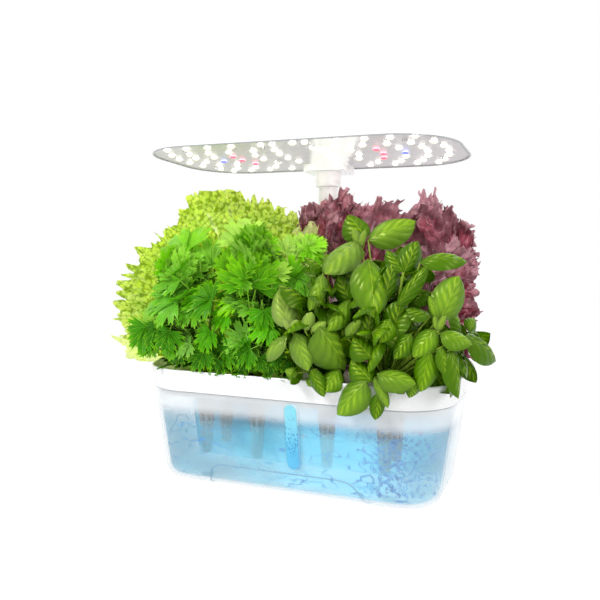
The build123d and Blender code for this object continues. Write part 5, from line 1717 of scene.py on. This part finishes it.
class PLANTER_OT_bubbles(Operator):
    """Add bubbles that cling to the inside of the wall"""

    bl_idname = "planter.bubbles"
    bl_label = "Add Bubbles"

    def execute(self, context):
        """Scatters flattened bubbles, most of them by the right end and along the surface."""
        water = settings("water")
        draws = np.random.default_rng(water.seed)
        points = []
        faces = []
        for _ in range(water.bubble_count):
            along, height, radius = self.draw_bubble(water.level / MM, draws)
            if abs(along) > BUBBLE_LIMIT:
                continue
            thickness = BUBBLE_FLATNESS * radius
            y, wall_turn = tub_front(along, height, TANK_WALL + BUBBLE_GAP + thickness)
            ball, quads = self.bubble(radius, thickness)
            turned = ball @ np.array(Matrix.Rotation(wall_turn, 3, "Z").transposed())
            faces.append(quads + len(ball) * len(points))
            points.append(turned + np.array((along, y, height)))
        piece = add_object(
            "tank_bubbles", np.concatenate(points) * MM, np.concatenate(faces), self.finish(water)
        )
        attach(piece, "tank")
        return {"FINISHED"}

    def draw_bubble(self, level, draws):
        """A bubble's place along the front, its height and its radius."""
        kind = draws.uniform()
        if kind < 0.55:
            along = draws.normal(*END_BUBBLES)
            height = draws.uniform(BUBBLE_LOWEST, level - 4)
            return along, height, draws.uniform(1.0, 2.8) * draws.uniform(0.6, 1)
        if kind < 0.85:
            along = draws.uniform(*SURFACE_BUBBLES)
            return along, level + draws.normal(-1.5, 3.0), draws.uniform(0.7, 1.7)
        along = draws.uniform(-BUBBLE_REACH, BUBBLE_REACH)
        return along, draws.uniform(BUBBLE_LOWEST, level), draws.uniform(0.4, 1.0)

    def bubble(self, radius, thickness, sides=16, rings=7):
        """Points and faces of one flattened bubble round the origin."""
        turns = np.arange(sides) * 2 * math.pi / sides
        tilt = np.linspace(0.05, math.pi - 0.05, rings)[:, None]
        x = radius * np.sin(tilt) * np.cos(turns)
        y = thickness * np.cos(tilt) + 0 * turns
        z = radius * np.sin(tilt) * np.sin(turns)
        return np.stack((x, y, z), axis=-1).reshape(-1, 3), ring_faces(rings, sides)

    def finish(self, water):
        """A glassy bubble: clear in the middle, with a blue rim and a faint painted glow."""
        finish = Finish("bubble_glass", water.bubble, 0.2, IOR=1.33, Specular_IOR_Level=0.1)
        finish.tint(finish.span(finish.noise(90.0), 0.35, 0.65), (0.0, 0.2, 0.56))
        # A faint painted glow keeps the bubbles light
        finish.glow(finish.tone, 0.14)
        finish.see_through(finish.span(finish.facing(), 0.16, 0.4, 0.0, 0.85), (0.96, 0.99, 1.0))
        return finish.done()


# How the basil grows: how far under the deck's top its stalks start, how many shoots fill each
# crown, where its left plant's stretch starts, and how far the shoots stand inside the crown:
# where it faces the camera, elsewhere, and how much deeper the more it turns that way
BASIL_ROOT_UNDER = 6
BASIL_SHOOTS = 34
BASIL_LEFT = -60
SHOOT_FRONT_INSIDE = 56
SHOOT_INSIDE = 6
SHOOT_DEEPER = 30
SHOOT_UNDER = 10
FACES_US = 0.55
BASIL_STALK = (1.6, 0.8)
BASIL_STALK_BOW = 4
SHOOT_STALK = (1.9, 0.9)
# A shoot's pairs of leaves from its tip down: size, spread from the axis, and how far down
SHOOT_PAIRS = ((0.45, 0.5, 0.0), (0.8, 0.9, 0.14), (1.0, 1.25, 0.4))
# Ranges of the draws for the shoots: their size, and their leaves' widths, cups and curls
SHOOT_SIZES = (0.8, 1.15)
SHOOT_WIDTHS = (0.66, 0.86)
SHOOT_CUPS = (0.45, 0.8)
SHOOT_CURLS = (0.5, 1.1)
# How far a shoot's leaves go towards the colour of new and lit leaves: at most, before painted
# shade darkens shoots that face the camera, at its tip, and how much less with each pair
SHOOT_LIGHT = 0.7
TIP_YOUTH = 0.85
PAIR_AGEING = 0.24


class PLANTER_OT_basil(Operator):
    """Grow the basil"""

    bl_idname = "planter.basil"
    bl_label = "Grow Basil"

    def execute(self, context):
        """Places the leaves that the picture shows and fills each crown with leafy shoots."""
        group = settings("basil")
        finish = basil_finish()
        draws = np.random.default_rng(group.seed)
        names = ("basil_1", "basil_2", "basil_3")
        family = crown_tree(*names)
        hanging = Foliage()
        for name in names:
            low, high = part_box(name)
            foliage = Foliage()
            root = pod_root(name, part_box("grow_deck")[1].z - BASIL_ROOT_UNDER * MM)
            left, right = (BASIL_LEFT * MM, high.x) if name == "basil_1" else (low.x, math.inf)
            rows = BASIL_LEAVES if name != "basil_3" else ()
            for foot, _ in place_leaves(
                rows, family, left, right, placed_basil_blade, foliage, draws, hanging
            ):
                stub = foot + (root - foot) * 0.3 + Vector((0, 0, BASIL_STALK_BOW * MM))
                foliage.add_stalk((root, stub, foot), BASIL_STALK, (0.5, 0.3, 0.5))
            for target, normal, front in crown_targets(name, BASIL_SHOOTS, draws):
                if in_gap(target, "basil_leaf"):
                    continue
                axis = (normal * 0.8 + Vector((0, 0, 0.55))).normalized()
                size = group.blade * draws.uniform(*SHOOT_SIZES)
                inside = SHOOT_INSIDE + SHOOT_DEEPER * front
                inside = SHOOT_FRONT_INSIDE if front > FACES_US else inside
                apex = target - axis * (SHOOT_UNDER * MM) - normal * (inside * MM)
                # Shoots that face the camera stand deep in the crown, so their leaves get painted
                # shade
                light = SHOOT_LIGHT - SHOOT_LIGHT * min(1.5 * front, 1)
                self.add_shoot(foliage, apex, axis, size, light, draws)
                bow = (apex + root) / 2 - Vector((0, 0, BASIL_ROOT_UNDER * MM))
                foliage.add_stalk((root, bow, apex), SHOOT_STALK, (0.5, 0.2, 0.5))
            foliage.build(name + "_leaves", name, finish, "basil_leaf")
        limits = (LOWEST_HANGING, HANGING_SPREAD)
        hanging.build("leaves_over_rim", "hanging_leaves", finish, "basil_leaf", *limits)
        return {"FINISHED"}

    def add_shoot(self, foliage, apex, axis, size, light, draws):
        """Opposite pairs of leaves, each pair crossing the next, smallest at the tip."""
        side = axis.cross(Vector((0.2, 1, 0.1))).normalized()
        other = axis.cross(side)
        start = draws.uniform(0, math.pi)
        for index, (grown, spread, down) in enumerate(SHOOT_PAIRS):
            for half in (0, 1):
                around = start + index * math.pi / 2 + half * math.pi + draws.uniform(-0.25, 0.25)
                out = side * math.cos(around) + other * math.sin(around)
                heading = axis * math.cos(spread) + out * math.sin(spread)
                face = axis * math.sin(spread) - out * math.cos(spread)
                base = apex - axis * size * down + out * size * 0.08
                age = TIP_YOUTH - PAIR_AGEING * index + draws.uniform(-0.15, 0.15)
                tint = (light * max(0.0, age), 0.0, 0.5)
                blade = basil_blade(draws.uniform(*SHOOT_WIDTHS), draws.uniform(*SHOOT_CUPS))
                curl = draws.uniform(*SHOOT_CURLS)
                foliage.add_blade(blade, base, heading, face, size * grown, curl, tint)


class PLANTER_OT_parsley(Operator):
    """Grow the parsley"""

    bl_idname = "planter.parsley"
    bl_label = "Grow Parsley"

    def execute(self, context):
        """Grows both parsley plants."""
        grow_leafy("parsley", PARSLEY_HABIT, parsley_finish())
        return {"FINISHED"}


class PLANTER_OT_green_lettuce(Operator):
    """Grow the green lettuces"""

    bl_idname = "planter.green_lettuce"
    bl_label = "Grow Green Lettuce"

    def execute(self, context):
        """Grows the three green lettuces."""
        finish = lettuce_finish("green_lettuce_leaf", settings("green_lettuce"), GREEN_LOOK)
        grow_leafy("green_lettuce", GREEN_LETTUCE_HABIT, finish)
        return {"FINISHED"}


class PLANTER_OT_red_lettuce(Operator):
    """Grow the red lettuces"""

    bl_idname = "planter.red_lettuce"
    bl_label = "Grow Red Lettuce"

    def execute(self, context):
        """Grows the two red lettuces."""
        finish = lettuce_finish("red_lettuce_leaf", settings("red_lettuce"), RED_LOOK)
        grow_leafy("red_lettuce", RED_LETTUCE_HABIT, finish)
        return {"FINISHED"}


# The lamps' places and sides, and the point that they face, in metres
KEY_LAMP = ((-0.9, -1.3, 1.5), 0.45)
FILL_LAMP = ((1.5, -1.1, 0.9), 0.8)
REAR_LAMP = ((0.3, 1.5, 1.4), 1.4)
LAMPS_FACE = (0, 0, 0.18)
FLOOR_HALF = 4.0
FLOOR_HEIGHT = -0.0003
# How much of the floor's own look gives way to plain white where it is seen
FLOOR_WHITE = 0.94
FLOOR_GLOW = 1.02


class PLANTER_OT_stage(Operator):
    """Set up the floor, the light and the camera"""

    bl_idname = "planter.stage"
    bl_label = "Set Up Stage"

    def execute(self, context):
        """Makes a pale floor, an even room light, three soft lamps and the camera."""
        view = settings("view")
        self.add_floor(view)
        self.light_room(view)
        self.add_lamp("key_lamp", *KEY_LAMP, view.key_power)
        self.add_lamp("fill_lamp", *FILL_LAMP, view.fill_power)
        self.add_lamp("rear_lamp", *REAR_LAMP, view.rear_power)
        place, right, up, back = camera_axes()
        camera = bpy.data.cameras.new("camera")
        camera.lens = view.camera_lens
        camera.sensor_width = SENSOR_WIDTH
        eye = bpy.data.objects.new("camera", camera)
        turned = Matrix((right, up, back)).transposed().to_4x4()
        eye.matrix_world = Matrix.Translation(place) @ turned
        context.scene.collection.objects.link(eye)
        context.scene.camera = eye
        context.scene.view_settings.view_transform = "Standard"
        return {"FINISHED"}

    def add_floor(self, view):
        """A wide pale floor that keeps a faint shadow."""
        signs = np.array([(-1, -1), (1, -1), (1, 1), (-1, 1)])
        points = np.column_stack((FLOOR_HALF * signs, np.full(4, FLOOR_HEIGHT)))
        finish = Finish("floor", view.floor_colour, 0.7)
        finish.roughen(finish.noise(3.0), 0.65, 0.8)
        white = finish.node("ShaderNodeEmission", {"Color": (1, 1, 1), "Strength": FLOOR_GLOW})
        seen = finish.times(finish.seen(), FLOOR_WHITE)
        finish.mingle(seen, finish.shader.outputs[0], white.outputs[0])
        floor = add_object("floor", points, [(0, 1, 2, 3)], finish.done())
        floor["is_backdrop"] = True

    def light_room(self, view):
        """An even room light, seen as plain white."""
        world = bpy.data.worlds.new("room")
        bpy.context.scene.world = world
        tree = Tree(world)
        strength = tree.span(tree.seen(), 0.0, 1.0, view.world_light, 1.0)
        background = tree.nodes["Background"]
        tree.join((1, 1, 1), background.inputs["Color"])
        tree.join(strength, background.inputs["Strength"])

    def add_lamp(self, name, place, side, power):
        """A large square lamp that faces the planter."""
        light = bpy.data.lights.new(name, "AREA")
        light.shape = "SQUARE"
        light.size = side
        light.energy = power
        lamp = bpy.data.objects.new(name, light)
        lamp.location = place
        way = Vector(LAMPS_FACE) - lamp.location
        lamp.rotation_euler = way.to_track_quat("-Z", "Y").to_euler()
        bpy.context.scene.collection.objects.link(lamp)


class PLANTER_PT_panel(Panel):
    """Lists the planter's steps and settings in the sidebar."""

    bl_idname = "PLANTER_PT_panel"
    bl_label = "Herb Planter"
    bl_space_type = "VIEW_3D"
    bl_region_type = "UI"
    bl_category = "Planter"

    def draw(self, context):
        """Draws one button for each step, and the settings below them."""
        for step in STEPS:
            self.layout.operator(step.bl_idname)
        for name, group in GROUPS.items():
            box = self.layout.box()
            box.label(text=group.__doc__)
            for key in group.__annotations__:
                box.prop(settings(name), key)


GROUPS = {
    "view": PlanterView,
    "plastic": PlanterPlastic,
    "water": PlanterWater,
    "lamp": PlanterLamp,
    "basil": PlanterBasil,
    "parsley": PlanterParsley,
    "green_lettuce": PlanterGreenLettuce,
    "red_lettuce": PlanterRedLettuce,
}
STEPS = (
    PLANTER_OT_stage,
    PLANTER_OT_tank,
    PLANTER_OT_deck,
    PLANTER_OT_pump,
    PLANTER_OT_pole,
    PLANTER_OT_lamp,
    PLANTER_OT_water,
    PLANTER_OT_bubbles,
    PLANTER_OT_basil,
    PLANTER_OT_parsley,
    PLANTER_OT_green_lettuce,
    PLANTER_OT_red_lettuce,
)


def register():
    """Registers the settings, the steps and the panel."""
    for name, group in GROUPS.items():
        bpy.utils.register_class(group)
        setattr(bpy.types.Scene, "planter_" + name, PointerProperty(type=group))
    for step in STEPS:
        bpy.utils.register_class(step)
    bpy.utils.register_class(PLANTER_PT_panel)


def unregister():
    """Removes what register() added."""
    bpy.utils.unregister_class(PLANTER_PT_panel)
    for step in reversed(STEPS):
        bpy.utils.unregister_class(step)
    for name, group in GROUPS.items():
        delattr(bpy.types.Scene, "planter_" + name)
        bpy.utils.unregister_class(group)


def main():
    """Registers everything, makes each piece in order and gathers the two boxes."""
    register()
    bpy.ops.planter.stage()
    bpy.ops.planter.tank()
    bpy.ops.planter.deck()
    bpy.ops.planter.pump()
    bpy.ops.planter.pole()
    bpy.ops.planter.lamp()
    bpy.ops.planter.water()
    bpy.ops.planter.bubbles()
    bpy.ops.planter.basil()
    bpy.ops.planter.parsley()
    bpy.ops.planter.green_lettuce()
    bpy.ops.planter.red_lettuce()
    boxes = {"cad": cad_bounds, "visual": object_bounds()}
    {key: [list(corner) for corner in box] for key, box in boxes.items()}


if __name__ == "__main__":
    main()
